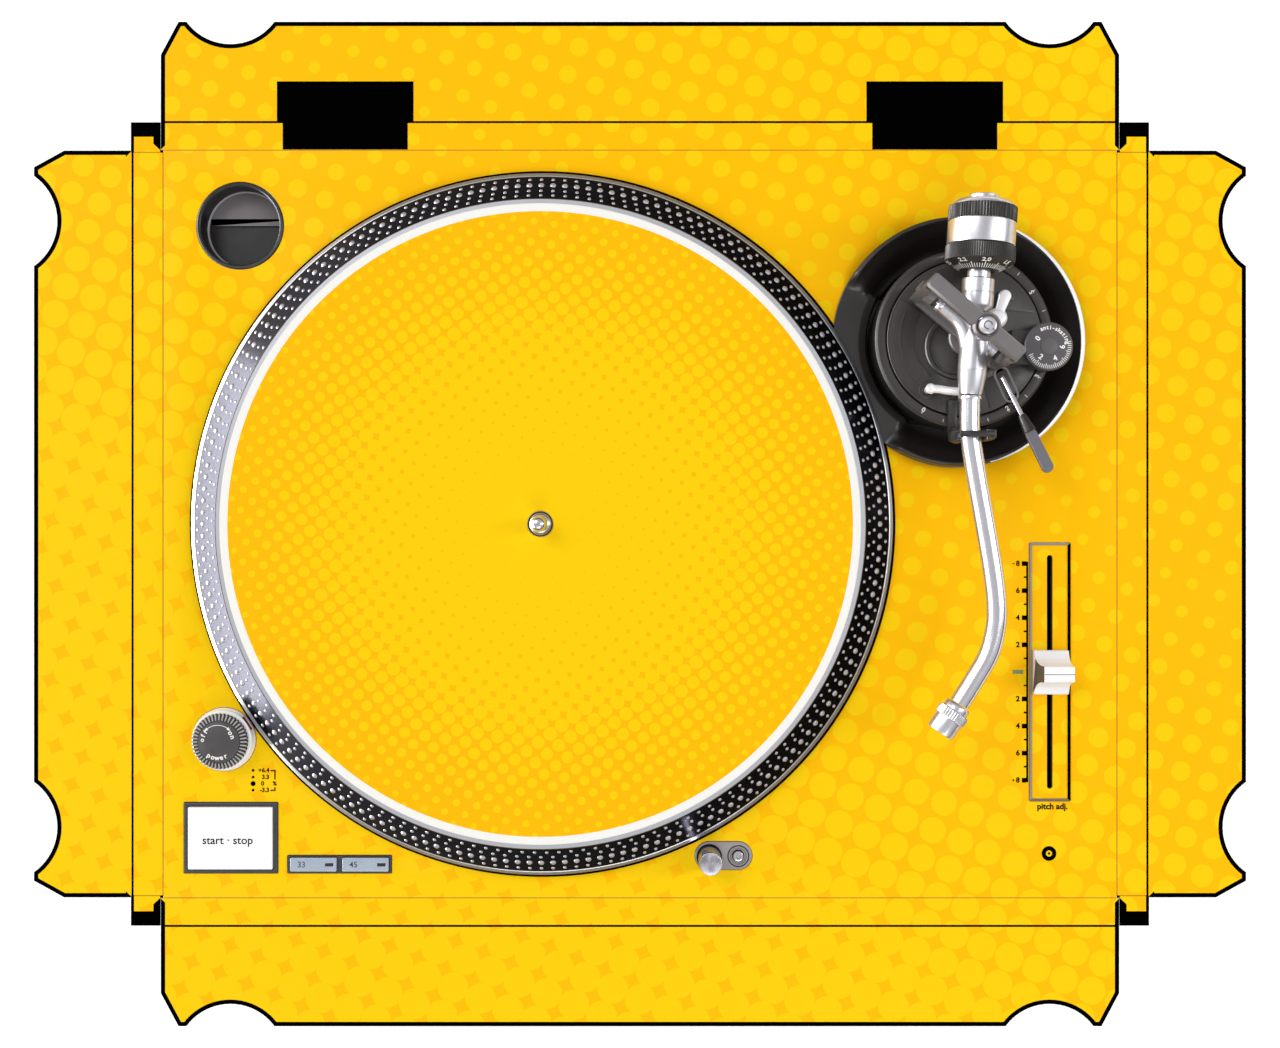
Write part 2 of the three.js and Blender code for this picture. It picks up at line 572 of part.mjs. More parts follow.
function makeArmBase() {
  const body = turned([[0, -28], [30, -28], [30, -12], [35.9, -12], [35.9, BASE_TOP], [0, BASE_TOP]], { sides: 32 });
  const pod = rod(10.8, BASE_TOP, 21.6, ANTI_SKATE.x, ANTI_SKATE.y, 20);
  const bridge = block([21, ANTI_SKATE.x], [-12.5, 3.5], [BASE_TOP, 21.6]);
  const root = block([21, 32], [-12.5, 3.5], [BASE_TOP - 1, 21]);
  const lifterBore = rod(2.1, -29, BASE_TOP + THROUGH, LIFTER.x, LIFTER.y, 12);
  const cueSlot = toSolid(
    new THREE.BoxGeometry(15, 4.6, 14)
      .translate(3.5, 0, 12)
      .rotateZ(THREE.MathUtils.degToRad(CUE.heading))
      .translate(CUE.x, CUE.y, 0),
  );
  return cut(joined(body, pod, bridge, root), lifterBore, cueSlot);
}

function makeArmRest() {
  const strut = block([-8.3, -4.3], [-43.6, -28.6], [BASE_TOP + GAP, 21.5]);
  const riser = block([-8.3, -2.3], [-48, -42], [19, 30]);
  const cradle = block([-9.3, 8], [-48.4, -43.6], [28, 32.6]);
  const rightWall = block([3.9, 8], [-48.4, -43.6], [32, 39]);
  const leftPost = rod(3, 29, 33, -6.4, -46, 16);
  return joined(strut, riser, cradle, rightWall, leftPost);
}

function makeArmClamp() {
  const knuckle = rodBetween([6, -48.2, 41.4], [6, -43.8, 41.4], 2, 16);
  const post = block([4.6, 7.4], [-48.2, -43.8], [41.4, 49.2]);
  const strap = block([-8.2, 7.4], [-47.6, -44.4], [47.6, 49.2]);
  return joined(knuckle, post, strap);
}

function makeLifter() {
  const { x, y } = LIFTER;
  return joined(rod(1.6, -14, 25, x, y, 12), rodBetween([x, y, 25], [3, -25.9, 25], 1.5, 12));
}

// The lever is drawn along +X from its hinge and turned to its heading.
function addCueLever(parent) {
  const lever = groupAt(parent, CUE.x, CUE.y, CUE.z);
  lever.rotation.order = "ZYX";
  lever.rotation.z = THREE.MathUtils.degToRad(CUE.heading);
  lever.rotation.y = THREE.MathUtils.degToRad(-CUE.rise);
  const stem = rodBetween([0, 0, 0], [0, 0, 4.4], 1.3, 12);
  const stalk = rodBetween([0, 0, 4], [22, 0, 4], 1.3, 12);
  const cone = turned([[0, 20], [2, 20], [3, 28.5], [0, 28.5]], { at: [0, 0, 4], along: [1, 0, 0], sides: 16 });
  const paddle = prism(roundedRectangle(22, 5.3, 2.5, 38.4, 0), 3, 5.4, 5);
  add(lever, "cue_lever", joined(stem, stalk, cone, paddle), FINISH.greyPlastic);
}

function makeLockLever() {
  const hub = rod(4.5, BASE_TOP + GAP, 21, 0, 0, 24);
  const handle = prism(roundedRectangle(4.6, 12, 2, 0, 6), 18.2, 20.6, 4);
  return joined(hub, handle);
}

add(arm, "arm_dish", makeDish(), FINISH.blackPlastic);
const ringProfile = [[RING.inner, -8], [RING.outer, -8], [RING.outer, RING.top], [RING.inner, RING.top]];
add(arm, "height_ring", turned(ringProfile, { sides: 40 }), FINISH.blackPlastic);
add(arm, "arm_base_plate", makeArmBase(), FINISH.blackPlastic);
const lockLever = groupAt(arm, 14.7, 9.3, 0);
lockLever.rotation.z = THREE.MathUtils.degToRad(-18.7);
add(lockLever, "height_lock_lever", makeLockLever(), FINISH.polished);
const skateProfile = [
  [0, 21.9], [10.9, 21.9], [11.2, 22.3], [11.2, 24.6], [10.8, 25], [3.8, 25], [3.6, 25.4], [0, 25.4],
];
const skateKnob = turned(skateProfile, { sides: 20 });
add(groupAt(arm, ANTI_SKATE.x, ANTI_SKATE.y, 0), "anti_skate_knob", skateKnob, FINISH.greyPlastic);
add(arm, "arm_rest", makeArmRest(), FINISH.blackPlastic);
add(arm, "arm_clamp", makeArmClamp(), FINISH.blackPlastic);
add(arm, "arm_lifter", makeLifter(), FINISH.polished);
addCueLever(arm);

// ---- Gimbal and tonearm ----
const YOKE = { left: -31.7, right: 20.1, half: 3.7, top: 62 };

function makeYoke() {
  const { left, right, half, top } = YOKE;
  const across = [-half, half];
  const topBar = block([left, right], across, [top - 5, top]);
  const lowBar = block([left, right], across, [19.6, 23.6]);
  const leftLeg = block([left, left + 4], across, [20, top - 1]);
  const rightLeg = block([right - 3.4, right], across, [20, top - 1]);
  const foot = rod(8, BASE_TOP + 0.4, 21, 0, 0, 24);
  const bore = rod(4.2, top - 6, top + THROUGH, 0, 0, 16);
  return cut(joined(topBar, lowBar, leftLeg, rightLeg, foot), bore);
}

function makeCapScrew() {
  const body = rod(3.9, YOKE.top - 9, YOKE.top + 2, 0, 0, 24);
  const slot = block([-0.6, 0.6], [-2.6, 2.6], [YOKE.top + 1.2, YOKE.top + 3]);
  return cut(body, slot);
}

const yoke = groupAt(arm, 0, 0, 0);
yoke.rotation.z = THREE.MathUtils.degToRad(YOKE_ANGLE);
add(yoke, "arm_yoke", makeYoke(), FINISH.blackPlastic);
add(yoke, "yoke_cap_screw", makeCapScrew(), FINISH.polished);

const armLine = groupAt(arm, 0, 0, ARM_AXIS);
const HOUSING_FRONT = [-2.2, -28.1, 0];
const REAR_DIRECTION = [0.065, 0.998, 0];
const COLLAR_AT = [-7.3, -167.2, 0];
const COLLAR_DIRECTION = [-0.566, -0.824, 0];

// Middle line of the S-shaped tube, from the housing to the locking collar.
const TUBE_LINE = [
  [-2.3, -28.5], [-2.2, -45], [0.4, -62.8], [4.2, -84.2], [7.8, -105.7], [9.6, -121], [9.3, -132],
  [6.2, -144.3], [-0.3, -155.9], [-7.1, -166.8],
];
const TUBE_RADIUS = 4.6;

function makeHousing() {
  const start = [0.3, 4, 0];
  const along = HOUSING_FRONT.map((value, axis) => value - start[axis]);
  const barrel = turned(
    [[0, 0], [5.2, 0], [6.4, 3], [6.4, 18], [5.8, 26], [5, 32.1], [0, 32.1]],
    { at: start, along, sides: 16 },
  );
  const angle = THREE.MathUtils.degToRad(YOKE_ANGLE);
  const cross = [Math.cos(angle), Math.sin(angle), 0];
  const shaft = turned(
    [[0, -27.2], [1.6, -27.2], [1.6, -20.5], [3.4, -20.5], [3.4, 13], [1.6, 13], [1.6, 16.2], [0, 16.2]],
    { along: cross, sides: 14 },
  );
  const hub = rodBetween([0, 0, 0], REAR_DIRECTION.map((value) => value * 8.9), 5, 20);
  return joined(barrel, shaft, hub);
}

function makeTube() {
  const line = new THREE.CatmullRomCurve3(TUBE_LINE.map(([x, y]) => new THREE.Vector3(x, y, 0)));
  const section = new THREE.Shape().absarc(0, 0, TUBE_RADIUS, 0, 2 * Math.PI);
  const options = { steps: 26, curveSegments: 5, bevelEnabled: false, extrudePath: line };
  return toSolid(new THREE.ExtrudeGeometry(section, options));
}

const stubProfile = [[0, 9.3], [5, 9.3], [7, 11.3], [7, 24], [5.2, 24.4], [5.2, 55], [0, 55]];
const dialProfile = [[5.6, 27.5], [8.6, 27.5], [15.6, 31.6], [15.6, 38.4], [5.6, 38.4]];
const weightProfile = [
  [5.6, 38.8], [15.1, 38.8], [15.1, 56.3], [13, 58.5], [6.9, 58.5], [6.9, 61.7], [0, 61.7], [0, 59.4],
  [5.6, 59.4],
];
const collarProfile = [
  [0, 0], [5.4, 0], [6, 1], [6, 3.2], [7.2, 3.6], [7.2, 7.4], [6.5, 7.8], [6.5, 15.2], [4, 15.2], [4, 4], [0, 4],
];
add(armLine, "arm_housing", makeHousing(), FINISH.satin);
add(armLine, "arm_tube", makeTube(), FINISH.polished);
add(armLine, "rear_stub", turned(stubProfile, { along: REAR_DIRECTION, sides: 20 }), FINISH.satin);
add(armLine, "force_dial", turned(dialProfile, { along: REAR_DIRECTION, sides: 24 }), FINISH.blackPlastic);
add(armLine, "counterweight", turned(weightProfile, { along: REAR_DIRECTION, sides: 24 }), FINISH.satin);
const collar = turned(collarProfile, { at: COLLAR_AT, along: COLLAR_DIRECTION, sides: 18 });
add(armLine, "lock_collar", collar, FINISH.satin);

export default turntable;
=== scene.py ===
"""Looks for a direct-drive turntable dressed in a printed, die-cut wrap, built around its CAD frame."""

import json
import math

import bmesh
import bpy
from bpy.props import FloatProperty, FloatVectorProperty, IntProperty, PointerProperty
from mathutils import Matrix, Quaternion, Vector


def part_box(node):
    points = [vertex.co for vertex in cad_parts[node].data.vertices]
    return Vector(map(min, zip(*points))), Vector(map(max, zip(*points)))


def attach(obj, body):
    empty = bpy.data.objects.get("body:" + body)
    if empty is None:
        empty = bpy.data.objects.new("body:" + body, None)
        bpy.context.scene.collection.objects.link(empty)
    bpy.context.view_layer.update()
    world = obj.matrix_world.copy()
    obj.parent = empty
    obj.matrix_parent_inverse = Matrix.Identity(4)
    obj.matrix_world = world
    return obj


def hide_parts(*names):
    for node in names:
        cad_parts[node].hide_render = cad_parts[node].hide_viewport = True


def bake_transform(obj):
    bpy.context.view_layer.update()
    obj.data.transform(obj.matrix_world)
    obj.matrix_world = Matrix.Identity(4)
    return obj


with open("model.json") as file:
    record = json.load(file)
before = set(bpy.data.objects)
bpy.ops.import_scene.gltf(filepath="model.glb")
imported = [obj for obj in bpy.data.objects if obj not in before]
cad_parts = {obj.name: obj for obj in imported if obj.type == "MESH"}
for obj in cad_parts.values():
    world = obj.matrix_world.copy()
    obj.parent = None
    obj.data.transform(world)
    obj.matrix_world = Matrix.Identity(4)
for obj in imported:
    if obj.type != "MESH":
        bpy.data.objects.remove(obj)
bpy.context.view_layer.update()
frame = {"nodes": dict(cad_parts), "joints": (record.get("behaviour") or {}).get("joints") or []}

bl_info = {
    "name": "Wrapped Turntable",
    "version": (1, 0, 0),
    "blender": (4, 5, 0),
    "location": "3D View > Sidebar > Turntable",
    "description": "Builds the visible pieces and finishes of a turntable with a printed wrap",
    "category": "Add Mesh",
}

MM = 0.001  # pieces are drawn in millimetres and stored in metres
TAU = 2 * math.pi


# ---- Places taken from the frame, in millimetres ----
def low(node):
    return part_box(node)[0] / MM


def high(node):
    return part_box(node)[1] / MM


def middle(node):
    return (low(node) + high(node)) / 2


def size(node):
    return high(node) - low(node)


def joint(name):
    return next(j for j in frame["joints"] if j["name"] == name)


def joint_at(name):
    return Vector(joint(name)["pos_m"]) / MM


DECK = high("deck_sheet").z
SHEET = low("deck_sheet").z
PLATTER = Vector((middle("platter").x, middle("platter").y, DECK))
PIVOT = joint_at("tonearm_swing")
ARM_BASE = Vector((PIVOT.x, PIVOT.y, DECK))
CORNERS = {"front_left": (-1, -1), "front_right": (1, -1), "back_left": (-1, 1), "back_right": (1, 1)}


# ---- Mesh work ----
def arc(x, y, radius, start, stop, steps):
    angles = [math.radians(start + (stop - start) * i / steps) for i in range(steps + 1)]
    return [(x + radius * math.cos(a), y + radius * math.sin(a)) for a in angles]


def circle(radius, x=0, y=0, steps=64):
    return arc(x, y, radius, 0, 360, steps)[:-1]


def rounded_rectangle(width, depth, radius, x=0, y=0, steps=6):
    right, top = width / 2 - radius, depth / 2 - radius
    return (
        arc(x + right, y - top, radius, -90, 0, steps)
        + arc(x + right, y + top, radius, 0, 90, steps)
        + arc(x - right, y + top, radius, 90, 180, steps)
        + arc(x - right, y - top, radius, 180, 270, steps)
    )


def eased(profile, radius, steps=3):
    """A profile or outline with its inner corners rounded off."""
    out = [Vector(profile[0])]
    for before, corner, after in zip(profile, profile[1:], profile[2:]):
        a, b, c = Vector(before), Vector(corner), Vector(after)
        reach = min(radius, (a - b).length * 0.45, (c - b).length * 0.45)
        start = b + (a - b).normalized() * reach
        end = b + (c - b).normalized() * reach
        for i in range(steps + 1):
            t = i / steps
            out.append(start * (1 - t) ** 2 + b * 2 * t * (1 - t) + end * t * t)
    out.append(Vector(profile[-1]))
    return [(p[0], p[1]) for p in out]


def inset(loop, distance):
    """The loop moved to its left by a distance: into an anticlockwise outline, or away from a clockwise hole."""
    count, out = len(loop), []
    for i, point in enumerate(loop):
        before, here, after = Vector(loop[i - 1]), Vector(point), Vector(loop[(i + 1) % count])
        first, second = (here - before).normalized(), (after - here).normalized()
        normal = Vector((-first.y - second.y, first.x + second.x)).normalized()
        spread = max(0.35, normal.dot(Vector((-first.y, first.x))))
        out.append(tuple(here + normal * (distance / spread)))
    return out


def signed_area(loop):
    return sum(a[0] * b[1] - b[0] * a[1] for a, b in zip(loop, loop[1:] + loop[:1])) / 2


def turned_to(loop, anticlockwise):
    return loop if (signed_area(loop) > 0) == anticlockwise else loop[::-1]


def bridge(bm, first, second, material=0):
    count = len(first)
    for i in range(count):
        j = (i + 1) % count
        face = bm.faces.new((first[i], first[j], second[j], second[i]))
        face.material_index = material


def fill_loops(bm, loops, material=0):
    edges = []
    for ring in loops:
        for i, vert in enumerate(ring):
            other = ring[(i + 1) % len(ring)]
            edges.append(bm.edges.get((vert, other)) or bm.edges.new((vert, other)))
    made = bmesh.ops.triangle_fill(bm, use_beauty=True, edges=edges)
    for item in made["geom"]:
        if isinstance(item, bmesh.types.BMFace):
            item.material_index = material


def plate(bm, outline, z0, z1, holes=(), bevel=0.15, border=0.0, border_material=1, material=0, steps=2):
    """A flat piece with holes, rounded top edges and, where asked, a printed border inside its outline."""
    loops = [turned_to(outline, True)] + [turned_to(hole, False) for hole in holes]
    bottoms, tops = [], []
    for index, loop in enumerate(loops):
        side = border_material if border and not index else material
        previous = [bm.verts.new((x, y, z0)) for x, y in loop]
        bottoms.append(previous)
        for i in range(steps + 1):
            turn = math.radians(90 * i / steps)
            moved = inset(loop, bevel * (1 - math.cos(turn)))
            z = z1 - bevel + bevel * math.sin(turn)
            ring = [bm.verts.new((x, y, z)) for x, y in moved]
            bridge(bm, previous, ring, side)
            previous = ring
        if border and not index:
            ring = [bm.verts.new((x, y, z1)) for x, y in inset(loop, border)]
            bridge(bm, previous, ring, border_material)
            previous = ring
        tops.append(previous)
    fill_loops(bm, tops, material)
    fill_loops(bm, bottoms, border_material if border else material)


def axis_turn(along):
    return Vector((0, 0, 1)).rotation_difference(Vector(along).normalized())


def revolve(bm, profile, at=(0, 0, 0), along=(0, 0, 1), segments=64, material=0, flutes=None, bands=None):
    """A profile of (radius, distance) turned about an axis. flutes = (count, depth, nearest, farthest) cuts ribs
    between two distances; bands maps a profile step to another material."""
    turn, place = axis_turn(along), Vector(at)
    rings = []
    for radius, distance in profile:
        if radius < 1e-6:
            rings.append([bm.verts.new(place + turn @ Vector((0, 0, distance)))])
            continue
        ring = []
        for i in range(segments):
            angle, r = TAU * i / segments, radius
            if flutes and flutes[2] <= distance <= flutes[3]:
                r -= flutes[1] * (0.5 - 0.5 * math.cos(flutes[0] * angle))
            ring.append(bm.verts.new(place + turn @ Vector((r * math.cos(angle), r * math.sin(angle), distance))))
        rings.append(ring)
    pairs = list(zip(rings, rings[1:]))
    if profile[0][0] > 1e-6:
        pairs.append((rings[-1], rings[0]))
    for step, (first, second) in enumerate(pairs):
        used = (bands or {}).get(step, material)
        if len(first) == 1 and len(second) == 1:
            continue
        if len(first) > 1 and len(second) > 1:
            bridge(bm, first, second, used)
            continue
        ring, tip = (second, first[0]) if len(first) == 1 else (first, second[0])
        for i in range(len(ring)):
            face = bm.faces.new((ring[i], ring[(i + 1) % len(ring)], tip))
            face.material_index = used


def sweep(bm, line, radii, segments=32, material=0, stretch=1.0):
    """A round bar along a line of points, its ends closed. stretch widens it across the horizontal."""
    points = [Vector(p) for p in line]
    count, rings = len(points), []
    for i, point in enumerate(points):
        ahead, behind = points[min(i + 1, count - 1)], points[max(i - 1, 0)]
        forward = (ahead - behind).normalized()
        side = forward.cross(Vector((0, 0, 1)))
        side = side.normalized() if side.length > 1e-4 else Vector((1, 0, 0))
        up = side.cross(forward).normalized()
        radius = radii if isinstance(radii, (int, float)) else radii[i]
        ring = []
        for k in range(segments):
            a = TAU * k / segments
            ring.append(bm.verts.new(point + side * (radius * stretch * math.cos(a)) + up * (radius * math.sin(a))))
        rings.append(ring)
    for first, second in zip(rings, rings[1:]):
        bridge(bm, first, second, material)
    for ring in (rings[0], rings[-1]):
        face = bm.faces.new(ring)
        face.material_index = material


def block(bm, x, y, z, bevel=0.4, steps=2, turn=0.0, about=(0, 0), material=0):
    """A box between two limits on each axis, with rounded edges."""
    made = bmesh.ops.create_cube(bm, size=1)
    verts = made["verts"]
    for v in verts:
        v.co = Vector([limits[0] + (c + 0.5) * (limits[1] - limits[0]) for c, limits in zip(v.co, (x, y, z))])
    edges = list({e for v in verts for e in v.link_edges})
    faces = {f for v in verts for f in v.link_faces}
    for face in faces:
        face.material_index = material
    if bevel:
        made = bmesh.ops.bevel(bm, geom=edges, offset=bevel, segments=steps, profile=0.5, affect="EDGES",
                               clamp_overlap=True, material=material)
        verts = list({v for f in made["faces"] for v in f.verts} | {v for v in verts if v.is_valid})
    if turn:
        bmesh.ops.rotate(bm, verts=verts, cent=(about[0], about[1], 0),
                         matrix=Matrix.Rotation(math.radians(turn), 3, "Z"))


def smooth_line(points, steps=8):
    """A curve through the points, as many short steps between each two."""
    p = [Vector(q) for q in points]
    p = [p[0] * 2 - p[1]] + p + [p[-1] * 2 - p[-2]]
    out = []
    for i in range(1, len(p) - 2):
        for k in range(steps):
            t = k / steps
            a, b, c, d = p[i - 1], p[i], p[i + 1], p[i + 2]
            out.append(0.5 * (2 * b + (c - a) * t + (2 * a - 5 * b + 4 * c - d) * t * t
                              + (3 * b - a - 3 * c + d) * t ** 3))
    out.append(p[-2])
    return out


def piece(name, bm, body, materials, replaces=(), crease=32, origin=(0, 0, 0), turn=None):
    """Stores a mesh drawn in millimetres about an origin as one piece that rides on a CAD body."""
    bmesh.ops.recalc_face_normals(bm, faces=bm.faces)
    if turn is not None:
        bm.transform(turn.to_matrix().to_4x4())
    bm.transform(Matrix.Scale(MM, 4) @ Matrix.Translation(Vector(origin)))
    for face in bm.faces:
        face.smooth = True
    mesh = bpy.data.meshes.new(name)
    bm.to_mesh(mesh)
    bm.free()
    mesh.set_sharp_from_angle(angle=math.radians(crease))
    obj = bpy.data.objects.new(name, mesh)
    bpy.context.scene.collection.objects.link(obj)
    for material in materials if isinstance(materials, (list, tuple)) else [materials]:
        mesh.materials.append(material)
    if body:
        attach(obj, body)
    if replaces:
        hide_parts(*replaces)
    return obj


def lettering(bm, text, height, where, thickness=0.04, align="CENTER", material=0, weight=0.03):
    """Adds flat letters, drawn with Blender's own font and set in place by a matrix, to a mesh."""
    curve = bpy.data.curves.new("lettering", "FONT")
    curve.body = text
    curve.size = height
    curve.align_x = align
    curve.align_y = "CENTER"
    curve.extrude = thickness / 2
    curve.offset = height * weight
    curve.resolution_u = 3
    holder = bpy.data.objects.new("lettering", curve)
    bpy.context.scene.collection.objects.link(holder)
    mesh = bpy.data.meshes.new_from_object(holder.evaluated_get(bpy.context.evaluated_depsgraph_get()))
    mesh.transform(where)
    count = len(bm.faces)
    bm.from_mesh(mesh)
    bm.faces.ensure_lookup_table()
    for face in bm.faces[count:]:
        face.material_index = material
    bpy.data.objects.remove(holder)
    bpy.data.meshes.remove(mesh)
    bpy.data.curves.remove(curve)


def ink_shape(bm, outline, z, thickness=0.05, holes=(), material=0):
    plate(bm, outline, z, z + thickness, holes, bevel=0.01, steps=1, material=material)


def rectangle(x0, x1, y0, y1):
    return [(x0, y0), (x1, y0), (x1, y1), (x0, y1)]


# ---- Finishes ----
def linear(value):
    return value / 12.92 if value <= 0.04045 else ((value + 0.055) / 1.055) ** 2.4


def rgb(code):
    """A colour written as an sRGB hex code, as linear RGBA."""
    return tuple(linear(int(code[i:i + 2], 16) / 255) for i in (0, 2, 4)) + (1.0,)


class Finish:
    """One material and short ways to add nodes to it."""

    def __init__(self, name, **shader):
        self.material = bpy.data.materials.new(name)
        self.material.use_nodes = True
        self.tree = self.material.node_tree
        self.shader = self.tree.nodes["Principled BSDF"]
        for socket, value in shader.items():
            self.shader.inputs[socket.replace("_", " ")].default_value = value
        self.place = self.node("ShaderNodeTexCoord").outputs["Object"]

    def node(self, kind, **settings):
        made = self.tree.nodes.new(kind)
        for name, value in settings.items():
            setattr(made, name, value)
        return made

    def put(self, socket, value):
        if isinstance(value, bpy.types.NodeSocket):
            self.tree.links.new(value, socket)
        else:
            socket.default_value = value

    def math(self, operation, first, second=0.0, clamp=False):
        made = self.node("ShaderNodeMath", operation=operation, use_clamp=clamp)
        self.put(made.inputs[0], first)
        self.put(made.inputs[1], second)
        return made.outputs[0]

    def split(self, vector=None):
        made = self.node("ShaderNodeSeparateXYZ")
        self.put(made.inputs[0], vector or self.place)
        return [self.math("MULTIPLY", out, 1 / MM) for out in made.outputs]

    def noise(self, grain, detail=2.0, roughness=0.5, vector=None, stretch=(1, 1, 1)):
        """Noise whose grain is that many millimetres, stretched along the axes."""
        mapping = self.node("ShaderNodeMapping")
        mapping.inputs["Scale"].default_value = [1 / (MM * grain * s) for s in stretch]
        self.put(mapping.inputs["Vector"], vector or self.place)
        made = self.node("ShaderNodeTexNoise")
        made.inputs["Scale"].default_value = 1.0
        made.inputs["Detail"].default_value = detail
        made.inputs["Roughness"].default_value = roughness
        self.put(made.inputs["Vector"], mapping.outputs[0])
        return made.outputs["Fac"]

    def mix(self, factor, first, second, blend="MIX"):
        made = self.node("ShaderNodeMix", data_type="RGBA", blend_type=blend)
        self.put(made.inputs[0], factor)
        self.put(made.inputs[6], first)
        self.put(made.inputs[7], second)
        return made.outputs[2]

    def spread(self, value, low_end, high_end):
        made = self.node("ShaderNodeMapRange")
        self.put(made.inputs["Value"], value)
        made.inputs["From Min"].default_value = 0.3
        made.inputs["From Max"].default_value = 0.7
        made.inputs["To Min"].default_value = low_end
        made.inputs["To Max"].default_value = high_end
        return made.outputs[0]

    def bump(self, height, depth, strength=1.0, normal=None):
        """A bump of that many millimetres."""
        made = self.node("ShaderNodeBump")
        made.inputs["Strength"].default_value = strength
        made.inputs["Distance"].default_value = depth * MM
        self.put(made.inputs["Height"], height)
        if normal:
            self.put(made.inputs["Normal"], normal)
        self.put(self.shader.inputs["Normal"], made.outputs[0])
        return made.outputs[0]


def tinted(base, share):
    return tuple(min(1.0, c * (1 + share)) for c in base[:3]) + (1.0,)


def surface(name, code, roughness, metallic=0.0, grain=0.35, depth=0.02, tone=0.05, smear=0.08, stretch=(1, 1, 1),
            **shader):
    """A moulded, painted or metal finish: fine grain in the bump, patches in the colour, smears in the gloss."""
    made = Finish(name, Metallic=metallic, **shader)
    fine = made.noise(grain, 3.0, 0.6, stretch=stretch)
    patches = made.noise(28, 4.0, 0.6)
    base = rgb(code)
    mottled = made.mix(made.spread(patches, 0, 1), tinted(base, -tone), tinted(base, tone))
    speckled = made.mix(made.spread(fine, 0, 0.5), mottled, tinted(base, -1.6 * tone))
    made.put(made.shader.inputs["Base Color"], speckled)
    rough = made.spread(made.noise(6, 4.0, 0.65, stretch=stretch), roughness - smear, roughness + smear)
    made.put(made.shader.inputs["Roughness"], made.math("MAXIMUM", rough, 0.03))
    made.bump(fine, depth)
    return made.material


def turned_metal(name, code, roughness, centre, groove=0.22, depth=0.004, tone=0.06, spun=0.0):
    """Metal cut on a lathe: fine rings about a vertical axis, seen in the gloss and the bump."""
    made = Finish(name, Metallic=1.0, Anisotropic=spun)
    if spun:
        made.put(made.shader.inputs["Tangent"], made.node("ShaderNodeTangent", direction_type="RADIAL").outputs[0])
    x, y, z = made.split()
    across = made.math("SUBTRACT", x, centre[0])
    along = made.math("SUBTRACT", y, centre[1])
    squares = made.math("ADD", made.math("MULTIPLY", across, across), made.math("MULTIPLY", along, along))
    radius = made.math("SQRT", squares)
    rings = made.node("ShaderNodeTexNoise", noise_dimensions="1D")
    rings.inputs["Scale"].default_value = 1 / groove
    rings.inputs["Detail"].default_value = 3
    made.put(rings.inputs["W"], radius)
    patches = made.noise(20, 3.0)
    base = rgb(code)
    shade = made.mix(made.spread(rings.outputs["Fac"], 0, 1), tinted(base, -tone), tinted(base, tone))
    shade = made.mix(made.spread(patches, 0, 0.4), shade, tinted(base, -1.5 * tone))
    made.put(made.shader.inputs["Base Color"], shade)
    made.put(made.shader.inputs["Roughness"], made.spread(rings.outputs["Fac"], roughness - 0.06, roughness + 0.08))
    made.bump(rings.outputs["Fac"], depth)
    return made.material


def lattice(made, pitch, angle, centre):
    """Distance from the nearest dot's middle, in pitches, and that middle's place in millimetres."""
    x, y, z = made.split()
    cos, sin = math.cos(math.radians(angle)), math.sin(math.radians(angle))
    x = made.math("SUBTRACT", x, centre[0])
    y = made.math("SUBTRACT", y, centre[1])
    u = made.math("ADD", made.math("MULTIPLY", x, cos / pitch), made.math("MULTIPLY", y, sin / pitch))
    v = made.math("SUBTRACT", made.math("MULTIPLY", y, cos / pitch), made.math("MULTIPLY", x, sin / pitch))
    whole_u = made.math("ROUND", u)
    whole_v = made.math("ROUND", v)
    du = made.math("SUBTRACT", u, whole_u)
    dv = made.math("SUBTRACT", v, whole_v)
    squares = made.math("ADD", made.math("MULTIPLY", du, du), made.math("MULTIPLY", dv, dv))
    dot_x = made.math("SUBTRACT", made.math("MULTIPLY", whole_u, cos * pitch),
                      made.math("MULTIPLY", whole_v, sin * pitch))
    dot_y = made.math("ADD", made.math("MULTIPLY", whole_u, sin * pitch), made.math("MULTIPLY", whole_v, cos * pitch))
    return made.math("SQRT", squares), made.math("ADD", dot_x, centre[0]), made.math("ADD", dot_y, centre[1])


def printed_dots(made, distance, radius, light, dark, edge=0.02):
    """Light dots on a darker ground, with a soft ink edge and a little ink speckle."""
    inside = made.math("MULTIPLY", made.math("SUBTRACT", radius, distance), 1 / edge)
    inside = made.math("ADD", inside, 0.5, clamp=True)
    speckle = made.noise(0.5, 2.0)
    patches = made.noise(45, 3.0)
    ground = made.mix(made.spread(patches, 0, 1), tinted(dark, -0.015), tinted(dark, 0.02))
    ground = made.mix(made.spread(speckle, 0, 0.35), ground, tinted(dark, -0.05))
    dots = made.mix(made.spread(speckle, 0, 0.35), light, tinted(light, -0.04))
    return made.mix(inside, ground, dots)


# The print is palest on one slanting line and fills evenly on both sides of it.
FADE_TILT = 58  # degrees from the deck's length to the way the fade runs
FADE_LINE = 110  # millimetres up the fade from the deck's middle
LEAST_FILL = 0.1  # share of the sheet that the dots cover there
FILL_RISE = 0.0033  # more of it for each millimetre away
MOST_FILL = 0.84


